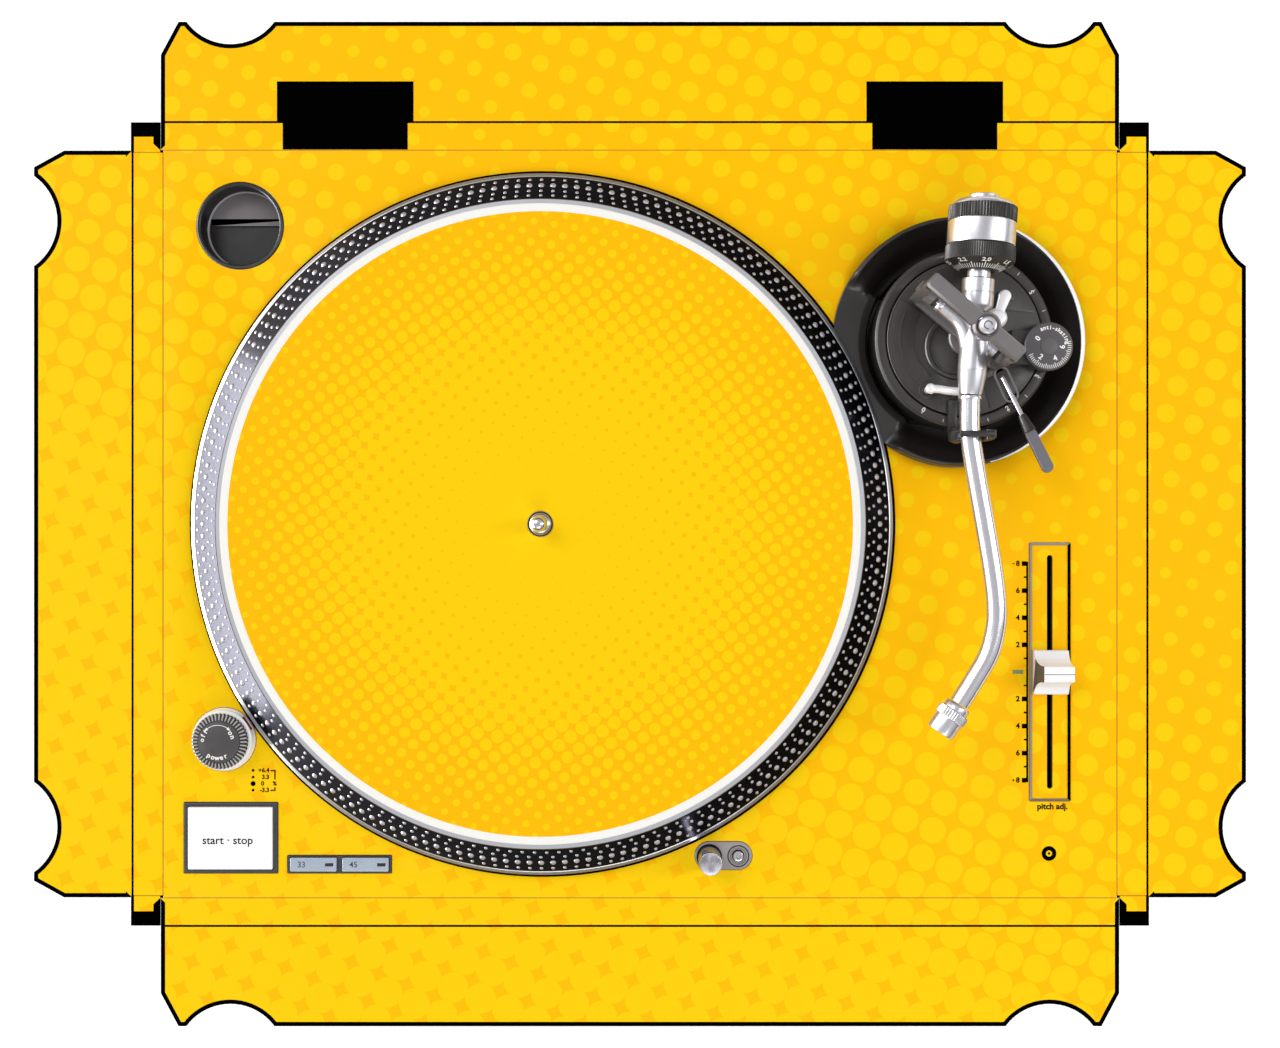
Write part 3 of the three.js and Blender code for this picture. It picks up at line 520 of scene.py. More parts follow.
def wrap_print():
    look = bpy.context.scene.turntable_wrap
    made = Finish("printed wrap", Specular_IOR_Level=0.06)
    distance, dot_x, dot_y = lattice(made, look.dot_pitch, look.dot_angle, look.dot_centre)
    tilt = math.radians(FADE_TILT)
    up = made.math("ADD", made.math("MULTIPLY", dot_x, math.cos(tilt)), made.math("MULTIPLY", dot_y, math.sin(tilt)))
    away = made.math("ABSOLUTE", made.math("SUBTRACT", up, FADE_LINE))
    fill = made.math("ADD", made.math("MULTIPLY", away, FILL_RISE), LEAST_FILL)
    fill = made.math("MINIMUM", fill, MOST_FILL)
    radius = made.math("SQRT", made.math("MULTIPLY", fill, 1 / math.pi))
    colour = printed_dots(made, distance, radius, tuple(look.dot_colour) + (1.0,), tuple(look.ground_colour) + (1.0,))
    made.put(made.shader.inputs["Base Color"], colour)
    made.put(made.shader.inputs["Roughness"], made.spread(made.noise(9, 5.0, 0.7), 0.42, 0.6))
    peel = made.noise(1.6, 2.0)
    made.bump(made.math("ADD", peel, made.math("MULTIPLY", made.noise(0.18), 0.4)), 0.006)
    return made.material


def mat_print(radius_mm):
    """Felt with its own printed dots, largest at the middle, inside a plain border."""
    look = bpy.context.scene.turntable_platter
    made = Finish("printed felt", Roughness=0.95, Specular_IOR_Level=0.05, Sheen_Weight=0.04, Sheen_Roughness=0.6)
    distance, dot_x, dot_y = lattice(made, look.mat_pitch, look.mat_angle, PLATTER)
    dx = made.math("SUBTRACT", dot_x, PLATTER.x)
    dy = made.math("SUBTRACT", dot_y, PLATTER.y)
    spread = made.math("DIVIDE", made.math("ADD", made.math("MULTIPLY", dx, dx), made.math("MULTIPLY", dy, dy)),
                       radius_mm ** 2)
    radius = made.math("SUBTRACT", look.mat_dot, made.math("MULTIPLY", spread, look.mat_fade))
    colour = printed_dots(made, distance, radius, rgb("FDCF06"), rgb("FDBC02"), edge=0.035)
    fibres = made.noise(0.22, 3.0, 0.7)
    tufts = made.noise(2.2, 4.0, 0.6)
    colour = made.mix(made.spread(fibres, 0, 0.12), colour, rgb("F0AE00"))
    made.put(made.shader.inputs["Base Color"], colour)
    made.bump(made.math("ADD", fibres, made.math("MULTIPLY", tufts, 0.8)), 0.09)
    return made.material


def felt(name, code):
    made = Finish(name, Roughness=0.95, Sheen_Weight=0.3, Sheen_Roughness=0.6)
    fibres = made.noise(0.22, 3.0, 0.7)
    tufts = made.noise(2.2, 4.0, 0.6)
    shade = made.mix(made.spread(fibres, 0, 0.5), rgb(code), tinted(rgb(code), -0.1))
    made.put(made.shader.inputs["Base Color"], made.mix(made.spread(tufts, 0, 0.3), shade, tinted(rgb(code), -0.06)))
    made.bump(made.math("ADD", fibres, made.math("MULTIPLY", tufts, 0.8)), 0.09)
    return made.material


FINISHES = {}


def make_finishes():
    f = FINISHES
    f["wrap"] = wrap_print()
    f["fold"] = surface("scored fold", "B98A1E", 0.6, grain=0.3, depth=0.02)
    f["ink"] = surface("black ink", "020202", 0.8, grain=0.4, depth=0.008, tone=0.1, Specular_IOR_Level=0.0)
    f["white_ink"] = surface("white ink", "F4F3EF", 0.5, grain=0.3, depth=0.006, tone=0.02)
    f["grey_ink"] = surface("grey ink", "58565A", 0.5, grain=0.3, depth=0.006, tone=0.06)
    f["dim_ink"] = surface("dim white ink", "E2E1E6", 0.5, grain=0.3, depth=0.006, tone=0.05)
    f["bright"] = surface("bright machined metal", "CFCED5", 0.34, metallic=0.95, grain=0.3, depth=0.0004, tone=0.02,
                          smear=0.03)
    f["dot_metal"] = surface("strobe dot metal", "B4B3BA", 0.4, metallic=0.6, grain=0.3, depth=0.002, tone=0.03)
    # White metal trim for the lock lever and lifter; the dish rim's painted highlight uses it too.
    f["trim"] = surface("white metal trim", "FBFBFD", 0.34, metallic=0.3, grain=0.3, depth=0.002, tone=0.02)
    f["ring_silver"] = surface("silver ring", "FFFFFF", 0.4, metallic=0.05, grain=0.3, depth=0.003, tone=0.03)
    f["well_edge"] = surface("adapter well edge", "9A989C", 0.35, grain=0.3, depth=0.01, tone=0.06)
    # Lit and shaded greys for the fader border's sides: painted light and painted shade.
    f["frame_light"] = surface("fader frame painted lit side", "8F877F", 0.5, grain=0.3, depth=0.008, tone=0.06)
    f["frame_low"] = surface("fader frame painted shaded side", "6B625A", 0.5, grain=0.3, depth=0.008, tone=0.06)
    f["paddle"] = surface("paddle moulding", "6D6C74", 0.42, grain=0.3, depth=0.012, tone=0.06)
    f["green_ink"] = surface("zero mark ink", "7E8C5A", 0.5, grain=0.3, depth=0.006)
    f["base"] = surface("moulded base rubber", "1A1A1C", 0.72, grain=0.45, depth=0.06, tone=0.05, smear=0.12)
    f["cabinet"] = surface("cast cabinet", "B4B6BA", 0.42, metallic=0.85, grain=0.3, depth=0.02, tone=0.04)
    f["foot"] = surface("foot rubber", "141415", 0.8, grain=0.5, depth=0.05, tone=0.15)
    f["steel"] = surface("plated steel", "8E9093", 0.38, metallic=1.0, grain=0.6, depth=0.008, stretch=(8, 1, 1))
    f["black"] = surface("black moulding", "26231F", 0.4, grain=0.4, depth=0.02, tone=0.15)
    f["dish"] = surface("satin black dish", "1F1B19", 0.36, grain=0.25, depth=0.01, tone=0.12, smear=0.06,
                        Coat_Weight=0.4,
                        Coat_Roughness=0.22)
    f["arm_base"] = surface("arm base casting", "2F2A28", 0.42, grain=0.25, depth=0.014, tone=0.1, Coat_Weight=0.15,
                            Coat_Roughness=0.3)
    f["yoke"] = surface("yoke paint", "6E6A6B", 0.4, grain=0.25, depth=0.012, tone=0.08, Coat_Weight=0.2,
                        Coat_Roughness=0.3)
    f["dial"] = surface("dial moulding", "4F4C50", 0.42, grain=0.3, depth=0.015, tone=0.08)
    f["knob"] = surface("knob moulding", "5B5758", 0.45, grain=0.3, depth=0.015, tone=0.08)
    f["knob_rib"] = surface("knob rib", "A5A2A3", 0.4, grain=0.3, depth=0.01, tone=0.06)
    f["knob_top"] = surface("knob disc", "474445", 0.4, grain=0.3, depth=0.01, tone=0.06)
    f["well"] = surface("adapter well", "1A1615", 0.4, grain=0.35, depth=0.02, tone=0.2)
    f["well_floor"] = surface("adapter well floor", "787376", 0.45, grain=0.3, depth=0.015, tone=0.06)
    f["bezel"] = surface("key bezel", "393B42", 0.45, grain=0.3, depth=0.012, tone=0.08)
    f["key_white"] = surface("white key", "FCFCFC", 0.36, grain=0.5, depth=0.008, tone=0.02)
    f["key_pale"] = surface("pale key", "AFBBCB", 0.32, metallic=0.25, grain=0.4, depth=0.006, tone=0.04)
    f["lamp_plate"] = surface("lamp plate", "9A9394", 0.45, grain=0.3, depth=0.012, tone=0.07)
    f["chrome"] = surface("polished chrome", "E4E3E8", 0.1, metallic=1.0, grain=0.5, depth=0.001, tone=0.03, smear=0.05)
    f["arm"] = surface("arm metal", "DEDCE4", 0.24, metallic=0.95, grain=0.6, depth=0.0003, tone=0.015, smear=0.015)
    f["slider"] = surface("fader knob", "F8F8FA", 0.36, metallic=0.05, grain=0.3, depth=0.006, tone=0.03)
    f["lens"] = surface("red lens", "A01512", 0.15, grain=0.5, depth=0.002, Transmission_Weight=0.4)
    f["glass"] = surface("lamp lens", "E8EEF2", 0.08, grain=0.5, depth=0.001, Transmission_Weight=0.6)
    f["board"] = surface("circuit board", "1F5A34", 0.5, grain=0.8, depth=0.02, tone=0.2)
    f["copper"] = surface("winding", "9A5A32", 0.45, metallic=0.6, grain=0.4, depth=0.05, stretch=(1, 1, 6))
    f["magnet"] = surface("magnet", "3A3A3D", 0.55, metallic=0.4, grain=0.4, depth=0.02)
    f["platter"] = turned_metal("diamond turned platter", "D6D8E0", 0.3, PLATTER, tone=0.03, depth=0.001)
    f["band"] = turned_metal("turned band", "3C3C43", 0.17, PLATTER, tone=0.02, depth=0.0004)
    f["lamp_metal"] = turned_metal("turned lamp cap", "B4B3BA", 0.3, middle("target_lamp"), groove=0.12, spun=0.85)
    f["spindle"] = turned_metal("turned spindle", "D2D1D6", 0.2, PLATTER, groove=0.1, depth=0.0005, spun=0.6)
    f["felt_border"] = felt("plain felt", "F6F4EE")
    f["floor"] = surface("pale floor", "FBFBFA", 0.8, grain=3, depth=0.01, tone=0.005, Specular_IOR_Level=0.2,
                         Emission_Strength=0.35)
    f["bright_card"] = surface("bright card", "FFFFFF", 0.8, grain=3, tone=0.005, Emission_Strength=24.0)
    f["mat"] = mat_print(size("slipmat").x / 2 - bpy.context.scene.turntable_platter.mat_border)


# ---- Settings that a user would change ----
class TurntableWrapSettings(bpy.types.PropertyGroup):
    """Print and outlines of the wrap."""

    dot_pitch: FloatProperty(name="Dot pitch", description="Distance between dots in millimetres", default=14.09, min=1)
    dot_angle: FloatProperty(name="Dot angle", description="Turn of the dot rows in degrees", default=-22.1)
    dot_centre: FloatVectorProperty(
        name="Dot centre", description="Middle of one dot in millimetres", size=2, default=(-188.9, 170.1))
    dot_colour: FloatVectorProperty(
        name="Dot colour", description="Colour of the dots", subtype="COLOR", size=3, default=rgb("FCCD06")[:3])
    ground_colour: FloatVectorProperty(
        name="Ground colour", description="Colour between the dots", subtype="COLOR", size=3, default=rgb("FFBE00")[:3])
    outline: FloatProperty(name="Outline", description="Width of the black die-cut outline in millimetres", default=2.1)
    score: FloatProperty(name="Score line", description="Width of the score line in millimetres", default=0.95)
    band: FloatProperty(name="Band", description="Score line's distance from the plinth in millimetres", default=14.2)


class TurntablePlatterSettings(bpy.types.PropertyGroup):
    """Strobe dots and slipmat print."""

    mat_pitch: FloatProperty(name="Mat dot pitch", description="Distance between mat dots in millimetres", default=6.75)
    mat_angle: FloatProperty(name="Mat dot angle", description="Turn of the mat's dot rows in degrees", default=36.4)
    mat_dot: FloatProperty(name="Middle dot", description="Dot radius in pitches at the middle", default=0.68)
    mat_fade: FloatProperty(name="Fade", description="How much smaller the dots are at the edge", default=0.48)
    mat_border: FloatProperty(name="Border", description="Plain border of the mat in millimetres", default=3.9)
    strobe_dots: IntProperty(name="Strobe dots", description="Dots in the large strobe row", default=180, min=12)


class TurntableStageSettings(bpy.types.PropertyGroup):
    """Camera and lights."""

    camera_height: FloatProperty(
        name="Camera height", description="Height above the deck", default=0.7, unit="LENGTH")
    view_width: FloatProperty(name="View width", description="Width seen on the deck", default=0.6084, unit="LENGTH")
    key_power: FloatProperty(name="Key light", description="Power that the lights share out", default=8.6, unit="POWER")
    sky: FloatProperty(name="Sky", description="Strength of the surrounding light", default=0.55)


# ---- Wrap ----
LONG_FLAP = {"straight": 46.7, "inset": 8.4, "notch_in": 31.8, "chord": 41.8, "depth": 10.6}
SHORT_FLAP = {"straight": 47.3, "inset": 7.9, "notch_in": 32.3, "chord": 42.9, "depth": 11.1}
PLINTH = size("rubber_base")
FOLDS = {
    "flap_back": (0, PLINTH.y / 2, PLINTH.x / 2, LONG_FLAP),
    "flap_front": (180, PLINTH.y / 2, PLINTH.x / 2, LONG_FLAP),
    "flap_left": (90, PLINTH.x / 2, PLINTH.y / 2, SHORT_FLAP),
    "flap_right": (-90, PLINTH.x / 2, PLINTH.y / 2, SHORT_FLAP),
}
TOP_INK = 0.02  # how far printed marks stand above what they are printed on


def notch(centre, out, shape, steps=20):
    """The foot notch, a shallow round bite in a flap's outer edge, from its right end to its left."""
    radius = (shape["chord"] ** 2 / 4 + shape["depth"] ** 2) / (2 * shape["depth"])
    reach = math.degrees(math.asin(shape["chord"] / 2 / radius))
    return arc(centre, out - shape["depth"] + radius, radius, -90 + reach, -90 - reach, steps)


def flap_outline(node):
    """A flap drawn pointing to +Y: along the plinth's side, and outwards from it."""
    angle, edge, half_side, shape = FOLDS[node]
    lo, hi = low(node), high(node)
    along_x = angle in (0, 180)
    half = (hi.x if along_x else hi.y)
    near = min(abs(v) for v in ((lo.y, hi.y) if along_x else (lo.x, hi.x))) - edge
    out = max(abs(v) for v in ((lo.y, hi.y) if along_x else (lo.x, hi.x))) - edge
    centre = half_side - shape["notch_in"]
    shoulder_out, shoulder_in = near, 0.0
    if not along_x:
        shoulder_out = abs(low("tab_back_left").x) - edge + 0.3
        shoulder_in = half - (low("tab_back_left").y - 0.3)
    points = [(-half + shoulder_in, near), (half - shoulder_in, near)]
    if shoulder_in:
        points += [(half - shoulder_in, shoulder_out), (half, shoulder_out)]
    points += [(half, shape["straight"]), (half - shape["inset"], out)]
    points += notch(centre, out, shape) + notch(-centre, out, shape)
    points += [(-half + shape["inset"], out), (-half, shape["straight"])]
    if shoulder_in:
        points += [(-half, shoulder_out), (-half + shoulder_in, shoulder_out)]
    return points, half, near, shoulder_out


def to_side(node):
    angle, edge = FOLDS[node][:2]
    return Quaternion((0, 0, 1), math.radians(angle)) , edge


def make_flap(node):
    look = bpy.context.scene.turntable_wrap
    turn, edge = to_side(node)
    points, half, near, shoulder = flap_outline(node)
    bm = bmesh.new()
    plate(bm, points, SHEET, DECK, bevel=0.12, border=look.outline, border_material=1)
    printed = max(near + look.outline + 0.4, shoulder - 0.1)
    corner = 0.3 if shoulder > near else 2 * look.outline
    for face in bm.faces:
        middle_y = face.calc_center_median().y
        if face.material_index == 1 and middle_y < printed and abs(face.calc_center_median().x) < half - corner:
            face.material_index = 0
    bmesh.ops.translate(bm, verts=bm.verts, vec=(0, edge, 0))
    piece(node + "_sheet", bm, node, [FINISHES["wrap"], FINISHES["ink"]], [node], turn=turn)
    ink = bmesh.new()
    ink_shape(ink, rectangle(-half + 0.2, half - 0.2, look.band, look.band + look.score), DECK + TOP_INK)
    if node == "flap_back":
        add_hinge_marks(ink, near)
    bmesh.ops.translate(ink, verts=ink.verts, vec=(0, edge, 0))
    piece(node + "_marks", ink, node, FINISHES["ink"], turn=turn)


def add_hinge_marks(ink, near):
    """Black T-shapes where the dust cover's hinge sockets sit when the flap is down."""
    shoulder = high("hinge_socket_right").z - low("cabinet").z + 1.2
    for side, node in ((-1, "hinge_socket_left"), (1, "hinge_socket_right")):
        lo, hi, at = low(node), high(node), middle(node).x
        wide, narrow = (hi.x - lo.x) / 2, (hi.x - lo.x) / 2 - 2.75
        foot = DECK - lo.z - 1.3
        top = near + 0.1
        ink_shape(ink, [(at - narrow, top), (at + narrow, top), (at + narrow, shoulder), (at + wide, shoulder),
                        (at + wide, foot), (at - wide, foot), (at - wide, shoulder), (at - narrow, shoulder)],
                  DECK + TOP_INK * 2.5)


def make_tab(corner, signs):
    """A corner tab: black backing with the printed tongue that shows beside the score line."""
    node = "tab_" + corner
    sx, sy = signs
    lo, hi = low(node), high(node)
    bm = bmesh.new()
    edge_x, edge_y = PLINTH.x / 2, PLINTH.y / 2
    near_x, near_y = min(abs(lo.x), abs(hi.x)), min(abs(lo.y), abs(hi.y))
    plate(bm, rectangle(lo.x, hi.x, lo.y, hi.y), SHEET, DECK, bevel=0.12)
    out, tip, inner = edge_x + 14.0, edge_y + 7.7, edge_x + 4.8
    tongue = [(out, near_y), (out, tip), (inner, tip), (inner, near_y + 3.9), (near_x, near_y + 0.9), (near_x, near_y)]
    plate(bm, [(sx * x, sy * y) for x, y in tongue], DECK - 0.05, DECK + TOP_INK, bevel=0.01, steps=1, material=1)
    piece(node + "_sheet", bm, node, [FINISHES["ink"], FINISHES["wrap"]], [node])


def make_film(name, line, across, width):
    """The scored film where two sheets of the wrap meet, drawn as a flat strip."""
    bm = bmesh.new()
    start, end = Vector(line[0]), Vector(line[1])
    out = Vector(across)
    z0, z1 = SHEET + 0.1, SHEET + 0.5
    count, rows = 6, []
    for z in (z0, z1):
        for i in range(count + 1):
            shift = out * (width * (i / count - 0.5))
            rows.append([bm.verts.new(Vector((p.x, p.y, z)) + shift) for p in (start, end)])
    lower, upper = rows[:count + 1], rows[count + 1:]
    for a, b in zip(lower, lower[1:]):
        bm.faces.new((a[0], a[1], b[1], b[0]))
    for a, b in zip(upper, upper[1:]):
        bm.faces.new((a[0], b[0], b[1], a[1]))
    for a, b in ((lower[0], upper[0]), (lower[-1], upper[-1])):
        bm.faces.new((a[0], a[1], b[1], b[0]))
    for end_index in (0, 1):
        bm.faces.new([row[end_index] for row in lower] + [row[end_index] for row in reversed(upper)])
    film = piece(name, bm, None, FINISHES["fold"])
    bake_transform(film)


def deck_holes():
    """Outlines of what comes through the deck sheet."""
    gap = 0.3
    holes = [circle(100, PLATTER.x, PLATTER.y, 128)]
    for node, steps in (("arm_dish", 160), ("adapter_well", 96), ("strobe_housing", 72)):
        at = middle(node)
        radius = size(node).x / 2
        holes.append(circle(radius + gap, at.x, at.y, steps))
    for node, radius in (("start_stop_bezel", 0.6), ("speed_bezel", 0.5), ("fader_frame", 1.0)):
        at, s = middle(node), size(node)
        holes.append(rounded_rectangle(s.x + 2 * gap, s.y + 2 * gap, radius, at.x, at.y))
    at, s = middle("lamp_plate"), size("lamp_plate")
    holes.append(rounded_rectangle(s.x + 2 * gap, s.y + 2 * gap, s.y / 2 + gap - 0.01, at.x, at.y, 14))
    return holes


def make_deck_sheet():
    bm = bmesh.new()
    lo, hi = low("deck_sheet"), high("deck_sheet")
    plate(bm, rectangle(lo.x, hi.x, lo.y, hi.y), SHEET, DECK, deck_holes(), bevel=0.12)
    piece("deck_print", bm, "root", FINISHES["wrap"], ["deck_sheet"])


class TURNTABLE_OT_wrap(bpy.types.Operator):
    """Makes the printed wrap: deck sheet, four flaps, four corner tabs and the films that join them"""

    bl_idname = "turntable.wrap"
    bl_label = "Wrap"

    def execute(self, context):
        make_deck_sheet()
        lo, hi = low("deck_sheet"), high("deck_sheet")
        for node in FOLDS:
            make_flap(node)
        for corner, signs in CORNERS.items():
            make_tab(corner, signs)
        for sy, node in ((-1, "flap_front"), (1, "flap_back")):
            y = joint_at(node + "_fold").y - sy * 0.15
            make_film(node + "_film", ((lo.x, y, 0), (hi.x, y, 0)), (0, sy, 0), 0.5)
        for sx, node in ((-1, "flap_left"), (1, "flap_right")):
            x = joint_at(node + "_fold").x - sx * 0.18
            end = low("tab_back_left").y - 0.3
            make_film(node + "_film", ((x, -end, 0), (x, end, 0)), (sx, 0, 0), 0.55)
        backing = bmesh.new()
        for sx, sy in CORNERS.values():
            outline = rectangle(PLINTH.x / 2 + 0.15, PLINTH.x / 2 + 1.5, PLINTH.y / 2 + 0.15, PLINTH.y / 2 + 1.35)
            plate(backing, [(sx * x, sy * y) for x, y in outline], SHEET + 0.52, DECK, bevel=0.05, steps=1)
        piece("corner_backings", backing, "root", FINISHES["ink"])
        for corner, (sx, sy) in CORNERS.items():
            y = joint_at("tab_" + corner + "_tuck").y - sy * 0.05
            tab = sorted((abs(low("tab_" + corner).x), abs(high("tab_" + corner).x)))
            make_film("tab_" + corner + "_film",
                      ((sx * tab[0], y, 0), (sx * tab[1], y, 0)), (0, sy, 0), 0.4)
        return {"FINISHED"}


# ---- Plinth ----
CARRIED = {
    "rubber_base": ("base", 1.2), "cabinet": ("cabinet", 0.6), "bottom_plate": ("steel", 0.3),
    "hinge_socket_left": ("black", 0.4), "hinge_socket_right": ("black", 0.4), "terminal_panel": ("black", 0.25),
    "power_inlet": ("black", 0.4), "main_board": ("board", 0.2), "power_transformer": ("copper", 1.0),
    "fader_rail": ("ink", 0.3), "motor_stator": ("copper", 0.4), "spindle_bearing": ("steel", 0.2),
    "rotor_magnet": ("magnet", 0.4), "strobe_lens": ("lens", 0.1),
}


class TURNTABLE_OT_plinth(bpy.types.Operator):
    """Finishes the plinth and what it holds, with rounded edges"""

    bl_idname = "turntable.plinth"
    bl_label = "Plinth"

    def execute(self, context):
        for node, (finish, bevel) in CARRIED.items():
            obj = frame["nodes"][node]
            obj.data.materials.clear()
            obj.data.materials.append(FINISHES[finish])
            edge = obj.modifiers.new("Rounded edges", "BEVEL")
            edge.width = bevel * MM
            edge.segments = 2
            edge.limit_method = "ANGLE"
            edge.angle_limit = math.radians(40)
        return {"FINISHED"}


class TURNTABLE_OT_feet(bpy.types.Operator):
    """Makes the four height-adjusting feet"""

    bl_idname = "turntable.feet"
    bl_label = "Feet"

    def execute(self, context):
        for corner in CORNERS:
            node = "foot_" + corner
            lo, hi, at = low(node), high(node), middle(node)
            r = size(node).y / 2
            body = [(0, 0.6), (r - 8, 0.6), (r - 7, 0), (r - 2.5, 0), (r - 0.3, 1.2), (r, 3), (r, 18.6),
                    (r - 0.5, 19.6),
                    (r - 2, 20.4), (r - 2, 26.4), (r - 3, 27.6), (r - 5, 29.6), (5.2, 29.6), (4.4, 30), (4.4, hi.z),
                    (0, hi.z)]
            bm = bmesh.new()
            revolve(bm, eased(body, 0.7, 2), segments=144, flutes=(48, 0.7, 3.2, 18.4))
            piece(node + "_rubber", bm, node, FINISHES["foot"], [node], origin=(at.x, at.y, 0))
        return {"FINISHED"}


# ---- Platter, slipmat, spindle ----
STROBE_ROWS = ((0.13, 0.85, -11), (0.34, 0.85, -6), (0.59, 1.42, 0), (0.85, 0.85, 6))
BAND = ((151.7, 14.4), (164.0, 5.0))


def strobe_dot(bm, angle, fraction, radius):
    """A raised, domed dot standing on the platter's sloping band."""
    (r0, z0), (r1, z1) = BAND
    r, z = r0 + (r1 - r0) * fraction, z0 + (z1 - z0) * fraction
    slope = Vector((z0 - z1, 0, r1 - r0)).normalized()
    turn = Quaternion((0, 0, 1), angle) @ axis_turn(slope)
    place = Vector((r * math.cos(angle), r * math.sin(angle), z))
    rings = []
    for share, lift in ((1.0, -0.05), (1.0, 0.05), (0.8, 0.3), (0.45, 0.48)):
        rings.append([bm.verts.new(place + turn @ Vector((radius * share * math.cos(TAU * k / 10),
                                                          radius * share * math.sin(TAU * k / 10), lift * radius)))
                      for k in range(10)])
    for first, second in zip(rings, rings[1:]):
        bridge(bm, first, second)
    bm.faces.new(rings[-1])
    bm.faces.new(rings[0][::-1])


class TURNTABLE_OT_platter(bpy.types.Operator):
    """Makes the platter with its strobe dots, the slipmat and the spindle"""

    bl_idname = "turntable.platter"
    bl_label = "Platter"

    def execute(self, context):
        look = context.scene.turntable_platter
        r = size("platter").y / 2
        (r0, z0), (r1, z1) = BAND
        profile = [(5.7, 15), (r0 - 0.5, 15), (r0, z0), (r1 - 0.4, z1 + 0.3), (r1, z1 - 0.1), (r - 1.6, 4.75),
                   (r - 0.2, 3.75), (r, 3.4), (r, 2.7), (r - 0.6, 2.2), (158, 2.2), (147, 9.5), (12, 9.5), (12, 4),
                   (5.7, 4)]
        bm = bmesh.new()
        revolve(bm, profile, segments=360, bands={1: 1, 2: 1, 3: 1, 6: 1, 7: 1})
        piece("platter_body", bm, "platter", [FINISHES["platter"], FINISHES["band"]], ["platter"],
              crease=6, origin=PLATTER)
        dots = bmesh.new()
        for fraction, radius, extra in STROBE_ROWS:
            count = look.strobe_dots + extra
            for i in range(count):
                strobe_dot(dots, TAU * (i + 0.25 * extra) / count, fraction, radius)
        piece("platter_strobe_dots", dots, "platter", FINISHES["dot_metal"], origin=PLATTER)
        # A black ink ring on the deck round the platter's edge: painted shadow in the gap under the platter.
        gap = bmesh.new()
        ink_shape(gap, circle(r + 1.7, steps=240), TOP_INK, holes=[circle(r - 4, steps=240)])
        piece("platter_painted_shadow_ring", gap, "root", FINISHES["ink"], origin=PLATTER)
        self.make_mat(look)
        self.make_spindle()
        return {"FINISHED"}

    def make_mat(self, look):
        r = size("slipmat").x / 2
        bottom, top = low("slipmat").z - DECK, high("slipmat").z - DECK
        hole = 6.0
        profile = [(hole, bottom), (r - 0.4, bottom), (r, bottom + 0.5), (r - 0.05, top - 0.5), (r - 0.5, top - 0.05),
                   (r - look.mat_border, top), (r * 0.6, top), (r * 0.3, top), (hole + 0.4, top), (hole, top - 0.5)]
        bm = bmesh.new()
        revolve(bm, profile, segments=256, material=1, bands={5: 0, 6: 0, 7: 0, 8: 0})
        mat = piece("slipmat_felt", bm, "platter", [FINISHES["mat"], FINISHES["felt_border"]], ["slipmat"],
                    origin=PLATTER)

    def make_spindle(self):
        top = high("spindle").z - DECK
        profile = [(0, -42.6), (3, -42.6), (3, 3.2), (5.4, 3.2), (5.4, 15.9), (5.3, 16.5), (4.9, 17.2), (4.3, 17.7),
                   (3.63, 18.0), (3.63, top - 3.2), (3.4, top - 2.0), (2.7, top - 0.9), (1.5, top - 0.25), (0, top)]
        bm = bmesh.new()
        revolve(bm, profile, segments=64)
        piece("spindle_pin", bm, "platter", FINISHES["spindle"], ["spindle"], origin=PLATTER)
        # A thin black ring round the spindle's flange, filling the gap inside the mat's hole: painted shade in that
        # gap.
        collar = bmesh.new()
        revolve(collar, [(5.45, 15.4), (5.8, 15.4), (5.8, 16.0), (5.7, 16.1), (5.45, 16.1)], segments=64)
        piece("spindle_painted_shade_ring", collar, "platter", FINISHES["black"], origin=PLATTER)


# ---- Round pieces and marks set on a line through space ----
class Axis:
    """A line with a fixed up side, for pieces and marks placed along and around it."""

    def __init__(self, at, along, up=(0, 0, 1)):
        self.at, self.along = Vector(at), Vector(along).normalized()
        self.side = self.along.cross(Vector(up)).normalized()
        self.up = self.side.cross(self.along)

    def point(self, radius, distance, angle=0.0):
        """A point at an angle in degrees from the up side."""
        a = math.radians(angle)
        return self.at + self.along * distance + self.up * (radius * math.cos(a)) + self.side * (radius * math.sin(a))


def mark_on_cone(bm, axis, start, end, angle, width, lift=0.05):
    """A thin bar lying on a cone between two (radius, distance) places."""
    near, far = axis.point(start[0], start[1], angle), axis.point(end[0], end[1], angle)
    along = (far - near).normalized()
    sideways = (axis.point(10, 0, angle + 1) - axis.point(10, 0, angle - 1)).normalized()
    out = sideways.cross(along)
    if out.dot(axis.point(1, 0, angle) - axis.at) < 0:
        out = -out
    corners = [near - sideways * width / 2, near + sideways * width / 2, far + sideways * width / 2,
               far - sideways * width / 2]
    lower = [bm.verts.new(c - out * 0.05) for c in corners]
    upper = [bm.verts.new(c + out * lift) for c in corners]
    bridge(bm, lower, upper)
    bm.faces.new(upper)
    bm.faces.new(lower[::-1])
    return near, along, sideways, out


def numeral_on_cone(bm, axis, start, end, angle, text, height):
    near, far = axis.point(start[0], start[1], angle), axis.point(end[0], end[1], angle)
    down = (near - far).normalized()
    sideways = (axis.point(10, 0, angle + 1) - axis.point(10, 0, angle - 1)).normalized()
    out = sideways.cross(-down)
    if out.dot(axis.point(1, 0, angle) - axis.at) < 0:
        out, sideways = -out, -sideways
    across = (-down).cross(out)
    where = Matrix((across, -down, out)).transposed().to_4x4()
    where.translation = (near + far) / 2 + out * 0.05
    lettering(bm, text, height, where)


def place(x, y, z, turn=0.0, stretch=1.0):
    return (Matrix.Translation((x, y, z)) @ Matrix.Rotation(math.radians(turn), 4, "Z")
            @ Matrix.Diagonal((stretch, 1, 1, 1)))


def curved_lettering(bm, text, height, radius, middle_angle, step, x, y, z, inward=False):
    """Letters round a circle, their feet to its middle, or away from it where inward is set."""
    for index, letter in enumerate(text):
        shift = (index - (len(text) - 1) / 2) * step
        angle = middle_angle + (shift if inward else -shift)
        a = math.radians(angle)
        where = place(x + radius * math.cos(a), y + radius * math.sin(a), z, angle + (90 if inward else -90))
        lettering(bm, letter, height, where)


